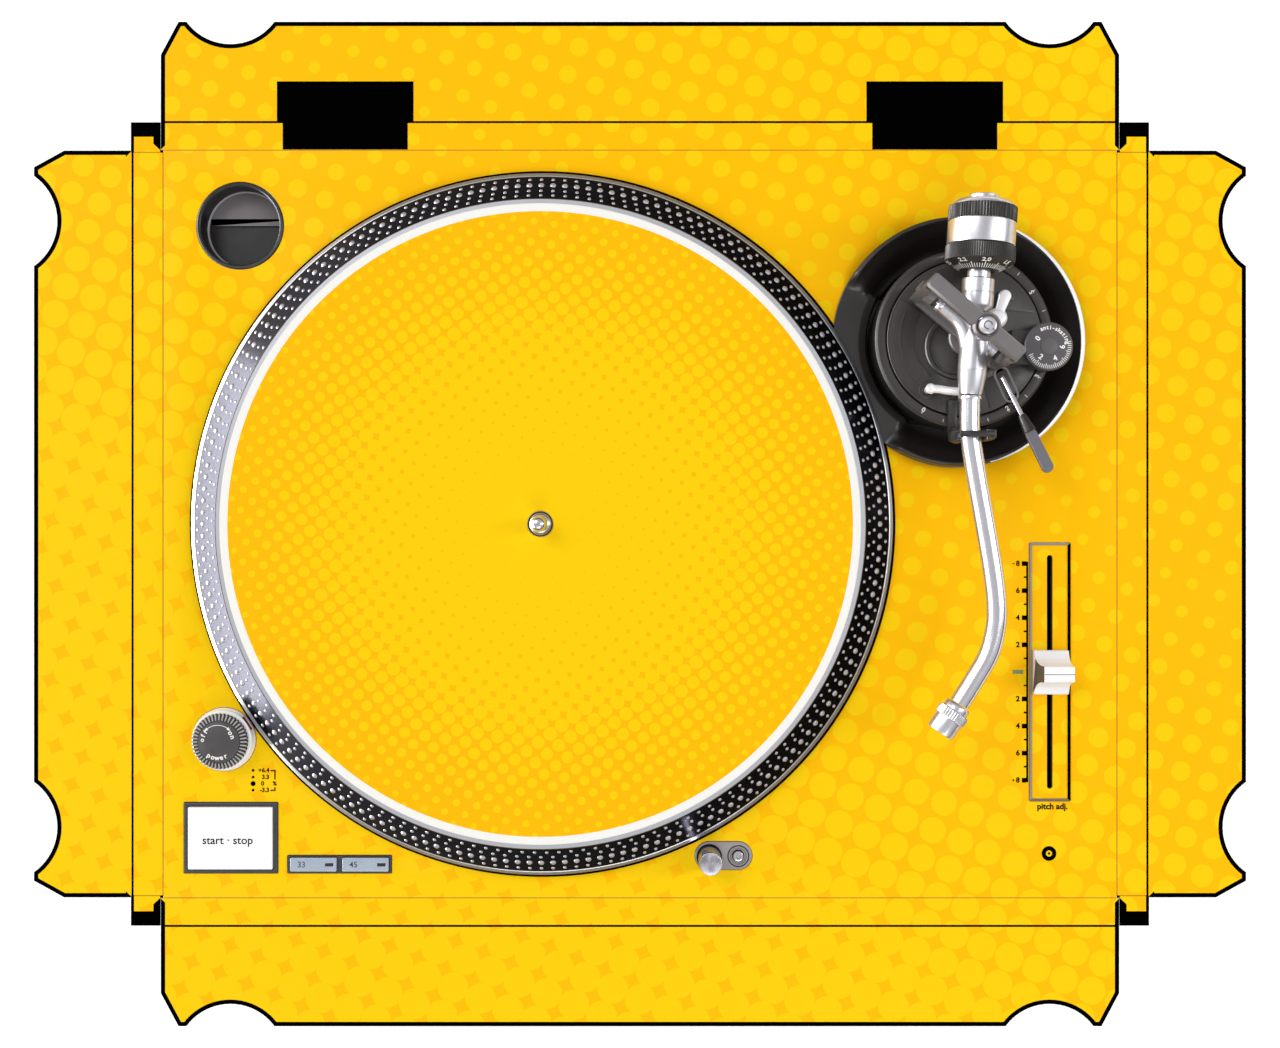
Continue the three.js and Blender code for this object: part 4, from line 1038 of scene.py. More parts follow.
def slab(bm, outline, x0, x1, **options):
    """A plate drawn on the (y, z) plane and standing between two x positions."""
    before = set(bm.verts)
    plate(bm, outline, x0, x1, **options)
    for vert in bm.verts:
        if vert not in before:
            vert.co = Vector((vert.co.z, vert.co.x, vert.co.y))


# ---- Well, strobe and power knob ----
class TURNTABLE_OT_well(bpy.types.Operator):
    """Makes the well for a centre adapter, with its lifting groove"""

    bl_idname = "turntable.well"
    bl_label = "Adapter well"

    def execute(self, context):
        at = middle("adapter_well")
        r = size("adapter_well").x / 2
        under, floor = low("adapter_well").z - DECK, low("adapter_well").z - DECK + 2.2
        groove_floor = floor - 1.3
        bm = bmesh.new()
        profile = [(0, under), (r - 1, under), (r - 1, -0.8), (r, -0.8), (r, 0.25), (r - 0.5, 0.5), (r - 1.3, 0.42),
                   (r - 1.8, 0), (r - 1.8, groove_floor), (0, groove_floor)]
        revolve(bm, profile, segments=128)
        piece("adapter_well_cup", bm, "root", FINISHES["well"], ["adapter_well"],
              origin=(at.x, at.y, DECK))
        lower = bmesh.new()
        inner = r - 1.85
        plate(lower, circle(inner - 0.6, steps=96), groove_floor + 0.02, floor,
              [rectangle(-inner + 1.6, inner - 1.4, 2.4, 5.5)], bevel=0.12)
        revolve(lower, [(inner - 0.75, floor - 0.3), (inner - 0.02, floor - 0.3), (inner - 0.02, floor + 0.75),
                        (inner - 0.2, floor + 0.62), (inner - 0.6, floor + 0.2)], segments=128, material=1)
        piece("adapter_well_floor", lower, "root", [FINISHES["well_floor"], FINISHES["well_edge"]],
              origin=(at.x, at.y, DECK))
        return {"FINISHED"}


class TURNTABLE_OT_power(bpy.types.Operator):
    """Makes the strobe housing and the turning power knob on it"""

    bl_idname = "turntable.power"
    bl_label = "Power knob"

    def execute(self, context):
        at = Vector((joint_at("power_turn").x, joint_at("power_turn").y, DECK))
        r = size("power_knob").x / 2
        housing = bmesh.new()
        outer = size("strobe_housing").x / 2
        profile = [(0, -12), (13, -12), (13, -0.8), (outer, -0.8), (outer, 0.9), (outer - 0.5, 1.5), (outer - 0.8, 4.4),
                   (outer - 1.3, 4.9), (r - 0.4, 5), (0, 5)]
        revolve(housing, eased(profile, 0.3, 2), segments=144)
        facing = math.atan2(PLATTER.y - at.y, PLATTER.x - at.x)
        lens = middle("strobe_lens") - at
        slope = Quaternion((0, 0, 1), facing)
        before = set(housing.verts)
        block(housing, (outer - 0.9, outer - 0.55), (-3.6, 3.6), (lens.z - 1.3, lens.z + 1.3), 0.1, material=1)
        for vert in housing.verts:
            if vert not in before:
                vert.co = slope @ vert.co
        piece("strobe_ring", housing, "root", [FINISHES["ring_silver"], FINISHES["lens"]],
              ["strobe_housing"], origin=at)
        knob = bmesh.new()
        top = high("power_knob").z - DECK
        revolve(knob, [(0, 5.3), (r - 0.9, 5.3), (r - 0.2, 5.9), (r, 6.6), (r - 0.15, 7.6), (r - 0.7, top - 0.75),
                       (10.0, top - 0.25), (9.6, top - 0.3), (0, top - 0.3)], segments=264,
                flutes=(44, 0.5, 5.6, top - 0.7))
        for i in range(44):
            self.add_rib(knob, TAU * i / 44, r - 0.7, 10.0, top)
        plate(knob, circle(9.75, steps=96), top - 0.35, top, bevel=0.12, material=1)
        self.add_legends(knob, top)
        piece("power_knob_top", knob, "power_knob", [FINISHES["black"], FINISHES["knob_top"], FINISHES["white_ink"],
                                              FINISHES["knob_rib"]],
              ["power_knob"], origin=at)
        self.add_scale()
        return {"FINISHED"}

    def add_rib(self, bm, angle, outer, inner, top):
        across = Vector((-math.sin(angle), math.cos(angle), 0))
        along = Vector((math.cos(angle), math.sin(angle), 0))
        ends = [(inner + 0.1, 0.27, top - 0.35), (outer + 0.4, 0.4, top - 0.95)]
        lower, upper = [], []
        for radius, half, z in ends:
            for sign in (-1, 1):
                spot = along * radius + across * (sign * half)
                lower.append(bm.verts.new(spot + Vector((0, 0, z - 0.1))))
                upper.append(bm.verts.new(spot * 1.0 + Vector((0, 0, z + 0.28))))
        order = (0, 1, 3, 2)
        bridge(bm, [lower[i] for i in order], [upper[i] for i in order], 3)
        for ring in ([upper[i] for i in order], [lower[i] for i in order][::-1]):
            bm.faces.new(ring).material_index = 3

    def add_legends(self, bm, top):
        ink = bmesh.new()
        z = top + 0.01
        curved_lettering(ink, "off", 3.0, 7.4, 157, 16, -0.5, 0, z)
        curved_lettering(ink, "on", 3.3, 7.4, 27, 17, -0.5, 0, z)
        curved_lettering(ink, "power", 3.2, 7.5, -92, 15.5, -0.5, 0, z, inward=True)
        band = arc(-0.5, 0, 8.05, 128, 54, 20) + arc(-0.5, 0, 7.75, 54, 128, 20)
        ink_shape(ink, turned_to(band, True), z)
        for angle, lean in ((130, 1), (52, -1)):
            a = math.radians(angle)
            middle_point = Vector((-0.5 + 7.9 * math.cos(a), 7.9 * math.sin(a)))
            forward = Vector((-math.sin(a), math.cos(a))) * lean
            out = Vector((math.cos(a), math.sin(a)))
            tip = middle_point + forward * 1.5
            wings = [middle_point - out * 0.75 - forward * 0.3, middle_point + out * 0.75 - forward * 0.3]
            ink_shape(ink, turned_to([tuple(tip), tuple(wings[0]), tuple(wings[1])], True), z)
        for face in ink.faces:
            face.material_index = 2
        mesh = bpy.data.meshes.new("legend")
        ink.to_mesh(mesh)
        ink.free()
        bm.from_mesh(mesh)
        bpy.data.meshes.remove(mesh)

    def add_scale(self):
        """Dots and speeds that name the platter's strobe rows."""
        ink = bmesh.new()
        z = DECK + TOP_INK
        rows = ((-117.1, "+6.4", 0.65), (-120.3, "3.3", 0.65), (-123.4, "0", 1.2), (-126.5, "-3.3", 0.65))
        for y, text, radius in rows:
            ink_shape(ink, circle(radius, -183.9, y, 24), z)
            align = "RIGHT" if text != "0" else "CENTER"
            lettering(ink, text, 2.9, place(-176.2 if text != "0" else -179.4, y, z + 0.04), align=align)
        for box in ((-175.6, -173.2, -117.5, -116.9), (-173.8, -173.2, -121.4, -116.9),
                    (-175.6, -173.2, -126.9, -126.3), (-173.8, -173.2, -126.9, -125.2)):
            ink_shape(ink, rectangle(*box), z)
        lettering(ink, "%", 2.7, place(-173.6, -123.4, z + 0.04))
        piece("strobe_scale", ink, "root", FINISHES["ink"])


# ---- Keys ----
class TURNTABLE_OT_keys(bpy.types.Operator):
    """Makes the start and stop key, the two speed keys and their bezels"""

    bl_idname = "turntable.keys"
    bl_label = "Keys"

    def execute(self, context):
        self.add_bezel("start_stop_bezel", [(middle("start_stop_button"), 40.7, 30.2)], 0.35)
        self.add_key("start_stop_button", "start_stop", "key_white", "button_white")
        windows = [(middle(node), 22.6, 7.1) for node in ("button_33", "button_45")]
        self.add_bezel("speed_bezel", windows, 0.3)
        for node, label in (("button_33", "33"), ("button_45", "45")):
            self.add_key(node, "speed_" + label, "key_pale", "button_pale", label)
        return {"FINISHED"}

    def add_bezel(self, node, windows, radius):
        at, s = middle(node), size(node)
        bm = bmesh.new()
        holes = [rounded_rectangle(w, d, 0.5, c.x, c.y, 3) for c, w, d in windows]
        plate(bm, rounded_rectangle(s.x, s.y, radius, at.x, at.y), DECK - 0.8, DECK + 0.6, holes, bevel=0.3, steps=2)
        for c, w, d in windows:
            plate(bm, rectangle(c.x - w / 2 - 0.1, c.x + w / 2 + 0.1, c.y - d / 2 - 0.1, c.y + d / 2 + 0.1),
                  DECK - 2.0, DECK - 0.9, [rectangle(c.x - w / 2 + 0.55, c.x + w / 2 - 0.55, c.y - d / 2 + 0.55,
                                                     c.y + d / 2 - 0.55)], bevel=0.1, material=1)
        piece(node + "_frame", bm, "root", [FINISHES["bezel"], FINISHES["black"]], [node])

    def add_key(self, node, body, finish, slot, label=None):
        at, s = middle(node), size(node)
        bm = bmesh.new()
        top = high(node).z
        if label:
            window = rectangle(at.x + 5.6, at.x + 9.6, at.y - 0.75, at.y + 0.75)
            plate(bm, rounded_rectangle(s.x, s.y, 0.5, at.x, at.y), low(node).z, top, [window], bevel=0.3, steps=3)
            plate(bm, rectangle(at.x + 5.5, at.x + 9.7, at.y - 0.85, at.y + 0.85), top - 1.2, top - 0.25, bevel=0.05,
                  material=1)
        else:
            plate(bm, rounded_rectangle(s.x, s.y, 0.4, at.x, at.y), low(node).z, top, bevel=0.35, steps=4)
        piece(node + "_cap", bm, body, [FINISHES[finish], FINISHES["black"]], [node])
        ink = bmesh.new()
        if label:
            lettering(ink, label, 3.9, place(at.x - 5.6, at.y, top + TOP_INK), weight=0.008)
        else:
            lettering(ink, "start · stop", 5.4, place(at.x - 1.1, at.y - 1.0, top + TOP_INK), weight=0.01)
        piece(node + "_legend", ink, body, FINISHES["bezel" if label else "ink"])


# ---- Target lamp ----
class TURNTABLE_OT_lamp(bpy.types.Operator):
    """Makes the pop-up lamp, its plate and its release button"""

    bl_idname = "turntable.lamp"
    bl_label = "Target lamp"

    def execute(self, context):
        at, s = middle("lamp_plate"), size("lamp_plate")
        lamp, button = middle("target_lamp"), middle("lamp_button")
        bm = bmesh.new()
        holes = [circle(6.0, lamp.x, lamp.y, 48), circle(5.2, button.x, button.y, 48)]
        plate(bm, rounded_rectangle(s.x, s.y, s.y / 2 - 0.01, at.x, at.y, 16), DECK - 0.8, DECK + 0.5, holes, bevel=0.3,
              steps=3)
        # The flat at the foot of the groove round the release button is black moulding: painted shade in the groove.
        revolve(bm, [(2.9, -1.6), (5.25, -1.6), (5.25, -0.2), (4.7, -0.2), (4.6, 0.45), (4.2, 0.5), (3.9, -0.2),
                     (3.3, -0.7),
                     (2.9, -0.7)], (button.x, button.y, DECK), segments=64, bands={2: 1})
        revolve(bm, [(5.65, -4), (6.05, -4), (6.05, 0.35), (5.65, 0.15)], (lamp.x, lamp.y, DECK), segments=64,
                material=1)
        piece("lamp_plate_cover", bm, "root", [FINISHES["lamp_plate"], FINISHES["black"]],
              ["lamp_plate"])
        cap = bmesh.new()
        r = size("lamp_button").x / 2
        revolve(cap, [(0, -6), (r, -6), (r, 0.5), (r - 0.3, 0.95), (r - 0.9, 1.1), (1.1, 1.05), (0.8, 0.75), (0, 0.7)],
                segments=48)
        piece("lamp_button_cap", cap, "lamp_button", FINISHES["chrome"], ["lamp_button"],
              origin=(button.x, button.y, DECK))
        self.add_barrel(lamp)
        return {"FINISHED"}

    def add_barrel(self, lamp):
        bottom, top = low("target_lamp").z - DECK, high("target_lamp").z - DECK
        r = size("target_lamp").y / 2
        facing = math.degrees(math.atan2(PLATTER.y - lamp.y, PLATTER.x - lamp.x))
        bm = bmesh.new()
        revolve(bm, [(0, bottom), (r, bottom), (r, top - 7.6), (0, top - 7.6)], segments=96)
        open_side = arc(0, 0, r, facing + 20, facing + 340, 80) + arc(0, 0, r - 1.5, facing - 20, facing + 20, 8)
        plate(bm, turned_to(open_side, True), top - 7.6, top - 3.1, bevel=0.02, steps=1)
        revolve(bm, [(0, top - 3.1), (r, top - 3.1), (r, top - 0.45), (r - 0.12, top - 0.15), (r - 0.45, top),
                     (0.4, top - 0.12), (0, top - 0.15)], segments=96)
        turn = Quaternion((0, 0, 1), math.radians(facing))
        before = set(bm.verts)
        block(bm, (r - 1.45, r - 1.1), (-1.5, 1.5), (top - 7.2, top - 3.5), 0.15, material=1)
        for vert in bm.verts:
            if vert not in before:
                vert.co = turn @ vert.co
        piece("target_lamp_barrel", bm, "target_lamp", [FINISHES["lamp_metal"], FINISHES["glass"]],
              ["target_lamp"], origin=(lamp.x, lamp.y, DECK))


# ---- Pitch fader ----
class TURNTABLE_OT_fader(bpy.types.Operator):
    """Makes the pitch fader, its printed frame, scale and sliding knob"""

    bl_idname = "turntable.fader"
    bl_label = "Pitch fader"

    def execute(self, context):
        at, s = middle("fader_frame"), size("fader_frame")
        slot = turned_to(
            arc(at.x, at.y + 54.2, 1.35, 0, 180, 12) + arc(at.x, at.y - 54.2, 1.35, 180, 360, 12), True)
        bm = bmesh.new()
        plate(bm, rounded_rectangle(s.x, s.y, 0.8, at.x, at.y), DECK - 0.8, DECK, [slot], bevel=0.1)
        piece("fader_print", bm, "root", FINISHES["wrap"], ["fader_frame"])
        self.add_border(at, s)
        self.add_scale(at)
        self.add_knob()
        return {"FINISHED"}

    def add_border(self, at, s):
        bm = bmesh.new()
        w, d = s.x / 2, s.y / 2
        outer = [(-w, -d), (w, -d), (w, d), (-w, d)]
        inner = [(-w + 1.1, -d + 1.1), (w - 1.2, -d + 1.1), (w - 1.2, d - 1.1), (-w + 1.1, d - 1.1)]
        # Left and top bars take the light grey, the bottom bar the darker grey and the right bar black ink: painted
        # light and shade on the raised border's sides.
        sides = ((0, 1, 1), (1, 2, 2), (2, 3, 0), (3, 0, 0))
        for a, b, material in sides:
            quad = [outer[a], outer[b], inner[b], inner[a]]
            plate(bm, [(at.x + x, at.y + y) for x, y in quad], DECK - 0.05, DECK + 0.5, bevel=0.12, material=material)
        piece("fader_border", bm, "root", [FINISHES["frame_light"], FINISHES["frame_low"], FINISHES["ink"]])

    def add_scale(self, at):
        ink = bmesh.new()
        z = DECK + TOP_INK
        step, line = 12.87, (183.6, 184.5)
        ink_shape(ink, rectangle(line[0], line[1], at.y - 4 * step - 0.9, at.y + 4 * step + 0.9), z)
        for i in range(-8, 9):
            y, major = at.y + i * step / 2, i % 2 == 0
            if i == 0:
                ink_shape(ink, rectangle(177.1, 182.2, y - 0.95, y + 0.95), z, material=1)
                continue
            reach, half = (3.0, 1.1) if major else (2.1, 0.38)
            ink_shape(ink, rectangle(line[0] - reach + 0.9, line[0], y - half, y + half), z)
            if major:
                text = str(abs(i))
                lettering(ink, text, 3.5, place(179.6, y, z + 0.04))
        for sign in (1, -1):
            y = at.y + sign * 4 * step
            ink_shape(ink, rectangle(177.0, 178.0, y - 0.2, y + 0.2), z)
            if sign < 0:
                ink_shape(ink, rectangle(177.3, 177.7, y - 0.5, y + 0.5), z)
        lettering(ink, "pitch adj.", 4.0, place(196.0, -134.3, z + 0.04))
        ink_shape(ink, circle(3.5, 194.4, -156.6, 40), z, holes=[circle(1.5, 194.4, -156.6, 24)])
        ink_shape(ink, circle(0.6, 194.4, -156.6, 16), z)
        piece("fader_scale", ink, "root", [FINISHES["ink"], FINISHES["green_ink"]])

    def add_knob(self):
        at = Vector((middle("pitch_knob").x, middle("pitch_knob").y, DECK))
        wide = 8.3
        side = [(-10.5, 0.9), (-10.5, 3.0), (-9.0, 3.5), (-6.6, 4.6), (-4.9, 6.8), (-3.9, 9.6), (-3.8, 13.0),
                (3.8, 13.0), (3.9, 9.6), (4.9, 6.8), (6.6, 4.6), (9.0, 3.5), (10.5, 3.0), (10.5, 0.9)]
        bm = bmesh.new()
        outline = turned_to([(-y, z) for y, z in side], True)
        outline = eased(outline + outline[:1], 0.8, 3)[:-1]
        slab(bm, outline, -wide, wide, bevel=0.5, steps=3)
        for v in bm.verts:
            if v.co.x < -wide + 1 and v.co.z > 3.2:
                v.co.x += 0.22 * (v.co.z - 3.2)
        bm.normal_update()
        # Faces on the knob's left side above its foot take the dark dial moulding: painted shade on the side turned
        # away from the light.
        for face in bm.faces:
            if face.normal.x < -0.6 and face.calc_center_median().z > 3.2:
                face.material_index = 2
        block(bm, (-0.9, 0.9), (-4, 4), (-9, 1.4), 0.2)
        block(bm, (-5.9, wide + 0.02), (-0.16, 0.16), (12.9, 13.04), 0.02, material=1)
        piece("pitch_knob_cap", bm, "pitch_knob", [FINISHES["slider"], FINISHES["grey_ink"], FINISHES["dial"]],
              ["pitch_knob"], origin=at)


# ---- Arm base ----
FLAT_SECTOR = (150, 238, 9)  # where the dish lies flat for the platter: from, to, and the blend on each side
RING_NUMBERS = ((0, -119.8), (1, -89), (2, -58.2), (3, -27.2), (4, 4), (5, 34.7), (6, 65))


class TURNTABLE_OT_arm_base(bpy.types.Operator):
    """Makes the dish, height ring, base plate and the small pieces on them"""

    bl_idname = "turntable.arm_base"
    bl_label = "Arm base"

    def execute(self, context):
        self.add_dish()
        self.add_ring()
        self.add_plate()
        self.add_skate_knob()
        self.add_lock_lever()
        self.add_rest()
        self.add_lifter()
        self.add_cue_lever()
        return {"FINISHED"}

    def add_dish(self):
        r = size("arm_dish").x / 2
        profile = [(42.2, -9), (49.6, -9), (49.6, -0.8), (r, -0.8), (r, 6.4), (r - 0.35, 7.5), (r - 1.1, 8.0),
                   (r - 2.0, 7.7), (r - 2.7, 7.0), (55, 5.8), (53, 4.0), (51, 2.0), (49, -0.8), (47.4, -3.0),
                   (46, -4.8), (44.4, -6.0), (42.2, -6.5)]
        bm = bmesh.new()
        revolve(bm, eased(profile, 0.8, 2), segments=360)
        start, end, soft = FLAT_SECTOR
        for v in bm.verts:
            x, y = v.co.x, v.co.y
            radius, angle = math.hypot(x, y), math.degrees(math.atan2(y, x)) % 360
            inside = min(1.0, max(0.0, min(angle - start, end - angle) / soft + 0.5))
            inside = inside * inside * (3 - 2 * inside)
            if v.co.z > -8 and radius > 43 and not (v.co.z < -0.5 and radius > 49.5):
                level = 1.3 - 0.9 * min(1, max(0, (47 - radius) / 4))
                v.co.z += (level - v.co.z) * inside
            reach = math.hypot(x + PIVOT.x - PLATTER.x, y + PIVOT.y - PLATTER.y)
            if reach < 167.4:
                v.co.z = min(v.co.z, 1.3)
        piece("arm_dish_shell", bm, "root", FINISHES["dish"], ["arm_dish"], origin=ARM_BASE)
        self.add_rim(r)

    def add_rim(self, r):
        """A white crescent on the dish's rim, on its right side only and widest at its middle: a painted highlight
        where the rim catches the light.
        """
        bm = bmesh.new()
        rings = []
        for i in range(81):
            angle = -76 + 156 * i / 80
            width = 1.9 * math.sin(math.pi * (i + 0.4) / 80.8) ** 0.6
            a = math.radians(angle)
            spots = [(r - 0.25 - width, 7.4), (r - 0.15, 7.4), (r - 0.15, 7.75), (r - 0.6, 8.1),
                     (r - 0.1 - width, 8.12)]
            rings.append([bm.verts.new((q * math.cos(a), q * math.sin(a), z)) for q, z in spots])
        for first, second in zip(rings, rings[1:]):
            bridge(bm, first, second)
        bm.faces.new(rings[0])
        bm.faces.new(rings[-1][::-1])
        piece("arm_dish_painted_highlight", bm, "root", FINISHES["trim"], origin=ARM_BASE)

    def add_ring(self):
        bm = bmesh.new()
        lo, hi = low("height_ring").z - DECK, high("height_ring").z - DECK
        outer = size("height_ring").y / 2
        inner = outer - 5
        profile = [(inner, lo), (outer - 0.8, lo), (outer - 0.8, 6), (outer, 6.4), (outer, hi - 1.6),
                   (outer - 0.3, hi - 1.1),
                   (outer - 0.9, hi - 0.8), (outer - 1.0, hi - 0.2), (outer - 1.3, hi), (inner + 0.4, hi),
                   (inner, hi - 0.4)]
        revolve(bm, eased(profile, 0.25, 2), segments=288, flutes=(96, 0.35, 6.2, hi - 1.7))
        ink = bmesh.new()
        mid = (inner + outer) / 2 - 0.3
        for number, angle in RING_NUMBERS:
            a = math.radians(angle)
            lettering(ink, str(number), 3.1, place((mid - 0.5) * math.cos(a), (mid - 0.5) * math.sin(a), hi + 0.03,
                                                   angle + 90))
            for shift, length in ((0, 0.9), (15.4, 1.7)):
                if number == 6 and shift:
                    continue
                b = angle + shift
                near = outer - 1.3 - length
                bar = [(near, -0.14), (outer - 1.4, -0.14), (outer - 1.4, 0.14), (near, 0.14)]
                cos, sin = math.cos(math.radians(b)), math.sin(math.radians(b))
                ink_shape(ink, [(x * cos - y * sin, x * sin + y * cos) for x, y in bar], hi + 0.005, 0.03)
        piece("height_ring_grip", bm, "height_ring", FINISHES["arm_base"], ["height_ring"],
              origin=ARM_BASE)
        piece("height_ring_scale", ink, "height_ring", FINISHES["dim_ink"], origin=ARM_BASE)

    def add_plate(self):
        top = 17.0
        r = 35.9
        lifter = Vector((-17.3, -24, 0))
        cue = joint_at("cue_lever_lift") - ARM_BASE
        bm = bmesh.new()
        revolve(bm, [(0, -28), (30, -28), (30, -12), (r, -12), (r, top - 2.6), (0, top - 2.6)], segments=192)
        heading = math.radians(-65.7)
        slot = [(cue.x + 3.5 * math.cos(heading) + p[0] * math.cos(heading) - p[1] * math.sin(heading),
                 cue.y + 3.5 * math.sin(heading) + p[0] * math.sin(heading) + p[1] * math.cos(heading))
                for p in turned_to(arc(5.2, 0, 2.7, -90, 90, 10) + arc(-5.2, 0, 2.7, 90, 270, 10), True)]
        plate(bm, circle(r, steps=192), top - 2.7, top, [circle(2.3, lifter.x, lifter.y, 32), slot], bevel=0.5, steps=3)
        plate(bm, inset(slot, -0.6), top - 2.55, top - 2.2, bevel=0.05, material=1)
        self.add_relief(bm, top, lifter)
        pod = joint_at("anti_skate_turn") - ARM_BASE
        plate(bm, circle(10.8, pod.x, pod.y, 72), top - 1.5, 21.5, bevel=0.4)
        plate(bm, rectangle(21, pod.x, -12.5, 3.5), top - 0.5, 21.0, bevel=0.5)
        rim = [(cue.x + 3.5 * math.cos(heading) + p[0] * math.cos(heading) - p[1] * math.sin(heading),
                cue.y + 3.5 * math.sin(heading) + p[0] * math.sin(heading) + p[1] * math.cos(heading))
               for p in turned_to(arc(5.2, 0, 3.8, -90, 90, 12) + arc(-5.2, 0, 3.8, 90, 270, 12), True)]
        plate(bm, rim, top - 0.1, top + 0.5, [slot], bevel=0.2, material=2)
        revolve(bm, [(2.3, top - 0.1), (4.2, top - 0.1), (4.2, top + 0.35), (3.8, top + 0.6), (2.6, top + 0.6),
                     (2.3, top + 0.3)], (lifter.x, lifter.y, 0), segments=48)
        piece("arm_base_top", bm, "arm_base", [FINISHES["arm_base"], FINISHES["ink"], FINISHES["yoke"]],
              ["arm_base_plate"], origin=ARM_BASE)

    def add_relief(self, bm, top, lifter):
        """Shallow steps moulded into the base plate."""
        sector = arc(0, 0, 34.6, 148, 232, 40) + arc(0, 0, 23.5, 232, 148, 30)
        plate(bm, turned_to(sector, True), top - 0.1, top + 0.45, bevel=0.2)
        sector = arc(0, 0, 30.4, 156, 226, 36) + arc(0, 0, 29.4, 226, 156, 36)
        plate(bm, turned_to(sector, True), top + 0.3, top + 0.8, bevel=0.15)
        upper = [(x, y) for x, y in arc(0, 0, 34.6, 20, 130, 48)] + [(-12, 12), (10, 14)]
        plate(bm, turned_to(upper, True), top - 0.1, top + 0.3, bevel=0.15)
        lower = arc(0, 0, 34.6, 290, 339, 24) + [(20, -13.4), (8, -20)]
        plate(bm, turned_to(lower, True), top - 0.1, top + 0.35, bevel=0.15)
        revolve(bm, [(12.9, top - 0.1), (15.2, top - 0.1), (15.2, top + 1.2), (14.7, top + 1.7), (13.4, top + 1.7),
                     (12.9, top + 1.2)], (-3.4, -4, 0), segments=96)
        revolve(bm, [(0, top - 0.1), (11.6, top - 0.1), (11.6, top + 0.3), (0, top + 0.3)], (-3.4, -4, 0), segments=72)
        for angle, reach in ((110, 27), (42, 28), (262, 28.5)):
            a = math.radians(angle)
            revolve(bm, [(0, top - 0.1), (2.1, top - 0.1), (2.1, top + 0.5), (1.5, top + 0.8), (0.7, top + 0.8),
                         (0.5, top + 0.35), (0, top + 0.35)], (reach * math.cos(a), reach * math.sin(a), 0),
                         segments=32)

    def add_skate_knob(self):
        at = joint_at("anti_skate_turn") - Vector((0, 0, joint_at("anti_skate_turn").z)) + Vector((0, 0, DECK))
        bm = bmesh.new()
        lo, hi = low("anti_skate_knob").z - DECK, high("anti_skate_knob").z - DECK
        r = size("anti_skate_knob").x / 2
        profile = [(0, lo), (r - 0.5, lo), (r, lo + 0.4), (r, hi - 1.3), (r - 0.3, hi - 0.7), (r - 0.8, hi - 0.4),
                   (0, hi - 0.4)]
        revolve(bm, eased(profile, 0.15, 2), segments=288, flutes=(96, 0.28, lo + 0.3, hi - 1.2))
        revolve(bm, [(0, hi - 0.5), (3.8, hi - 0.5), (3.8, hi - 0.1), (3.4, hi), (0, hi)], segments=64, material=1)
        ink = bmesh.new()
        z = hi - 0.39
        for i in range(31):
            angle = math.radians(205 + i * 5.6)
            length = 1.7 if i % 5 else 2.3
            bar = [(r - 0.9 - length, -0.15), (r - 0.9, -0.15), (r - 0.9, 0.15), (r - 0.9 - length, 0.15)]
            ink_shape(ink, [(x * math.cos(angle) - y * math.sin(angle), x * math.sin(angle) + y * math.cos(angle))
                            for x, y in bar], z, 0.03)
        for number, angle in ((0, 145), (2, 232), (4, 297), (6, 357)):
            a = math.radians(angle)
            lettering(ink, str(number), 3.4, place(6.2 * math.cos(a), 6.2 * math.sin(a), z + 0.03,
                                                   angle - 90 if number in (0,) else angle + 90))
        curved_lettering(ink, "anti-skating", 2.7, 8.6, 62, 9.4, 0, 0, z + 0.03)
        piece("anti_skate_dial", bm, "anti_skate", [FINISHES["dial"], FINISHES["knob"]],
              ["anti_skate_knob"], origin=at)
        piece("anti_skate_scale", ink, "anti_skate", FINISHES["white_ink"], origin=at)

    def add_lock_lever(self):
        at = joint_at("height_lock_turn")
        bm = bmesh.new()
        lo, hi = low("height_lock_lever").z - DECK, high("height_lock_lever").z - DECK
        revolve(bm, eased([(0, lo), (4.7, lo), (4.7, hi - 1.4), (3.4, hi), (0, hi)], 0.8, 3), segments=64)
        turn = Quaternion((0, 0, 1), math.radians(-18.7))
        before = set(bm.verts)
        outline = arc(0, 10.6, 2.9, -20, 200, 14) + [(-2.2, 4), (-2.2, 0), (2.2, 0), (2.2, 4)]
        plate(bm, turned_to(outline, True), lo + 1.0, hi - 0.35, bevel=0.8, steps=4)
        for v in bm.verts:
            if v not in before:
                v.co = turn @ v.co
        piece("height_lock_handle", bm, "height_lock", FINISHES["trim"], ["height_lock_lever"],
              origin=(at.x, at.y, DECK))

    def add_rest(self):
        bm = bmesh.new()
        block(bm, (-8.3, -4.3), (-43.6, -28.6), (17.3, 21.5), 0.5)
        block(bm, (-8.3, -2.3), (-48, -42), (19, 30), 0.6)
        block(bm, (-9.3, 8), (-48.4, -43.6), (28, 32.6), 0.5)
        block(bm, (3.9, 8), (-48.4, -43.6), (32, 38.6), 0.5)
        revolve(bm, [(0, 28), (3.4, 28), (3.4, 31.2), (2.9, 32.6), (1.4, 33), (1.1, 32.4), (0, 32.4)], (-6.4, -46, 0),
                segments=48)
        block(bm, (-7.6, -5.0), (-41.5, -30.5), (21.2, 22.0), 0.3)
        piece("arm_rest_post", bm, "arm_base", FINISHES["black"], ["arm_rest"], origin=ARM_BASE)
        clamp = bmesh.new()
        revolve(clamp, [(0, 0), (2.0, 0), (2.0, 4.4), (0, 4.4)], (6, -48.2, 41.4), (0, 1, 0), segments=40)
        block(clamp, (4.6, 7.4), (-48.0, -44.0), (41.4, 48.6), 0.5)
        line = smooth_line([(7.0, -46, 47.6), (4.6, -46, 48.6), (0, -46, 48.9), (-4, -46, 48.5), (-7.4, -46, 47.4)], 5)
        sweep(clamp, line, 0.62, 12, stretch=2.2)
        block(clamp, (-8.2, -6.9), (-47.5, -44.5), (46.6, 48.3), 0.3)
        piece("arm_clamp_strap", clamp, "arm_clamp", FINISHES["black"], ["arm_clamp"],
              origin=ARM_BASE)

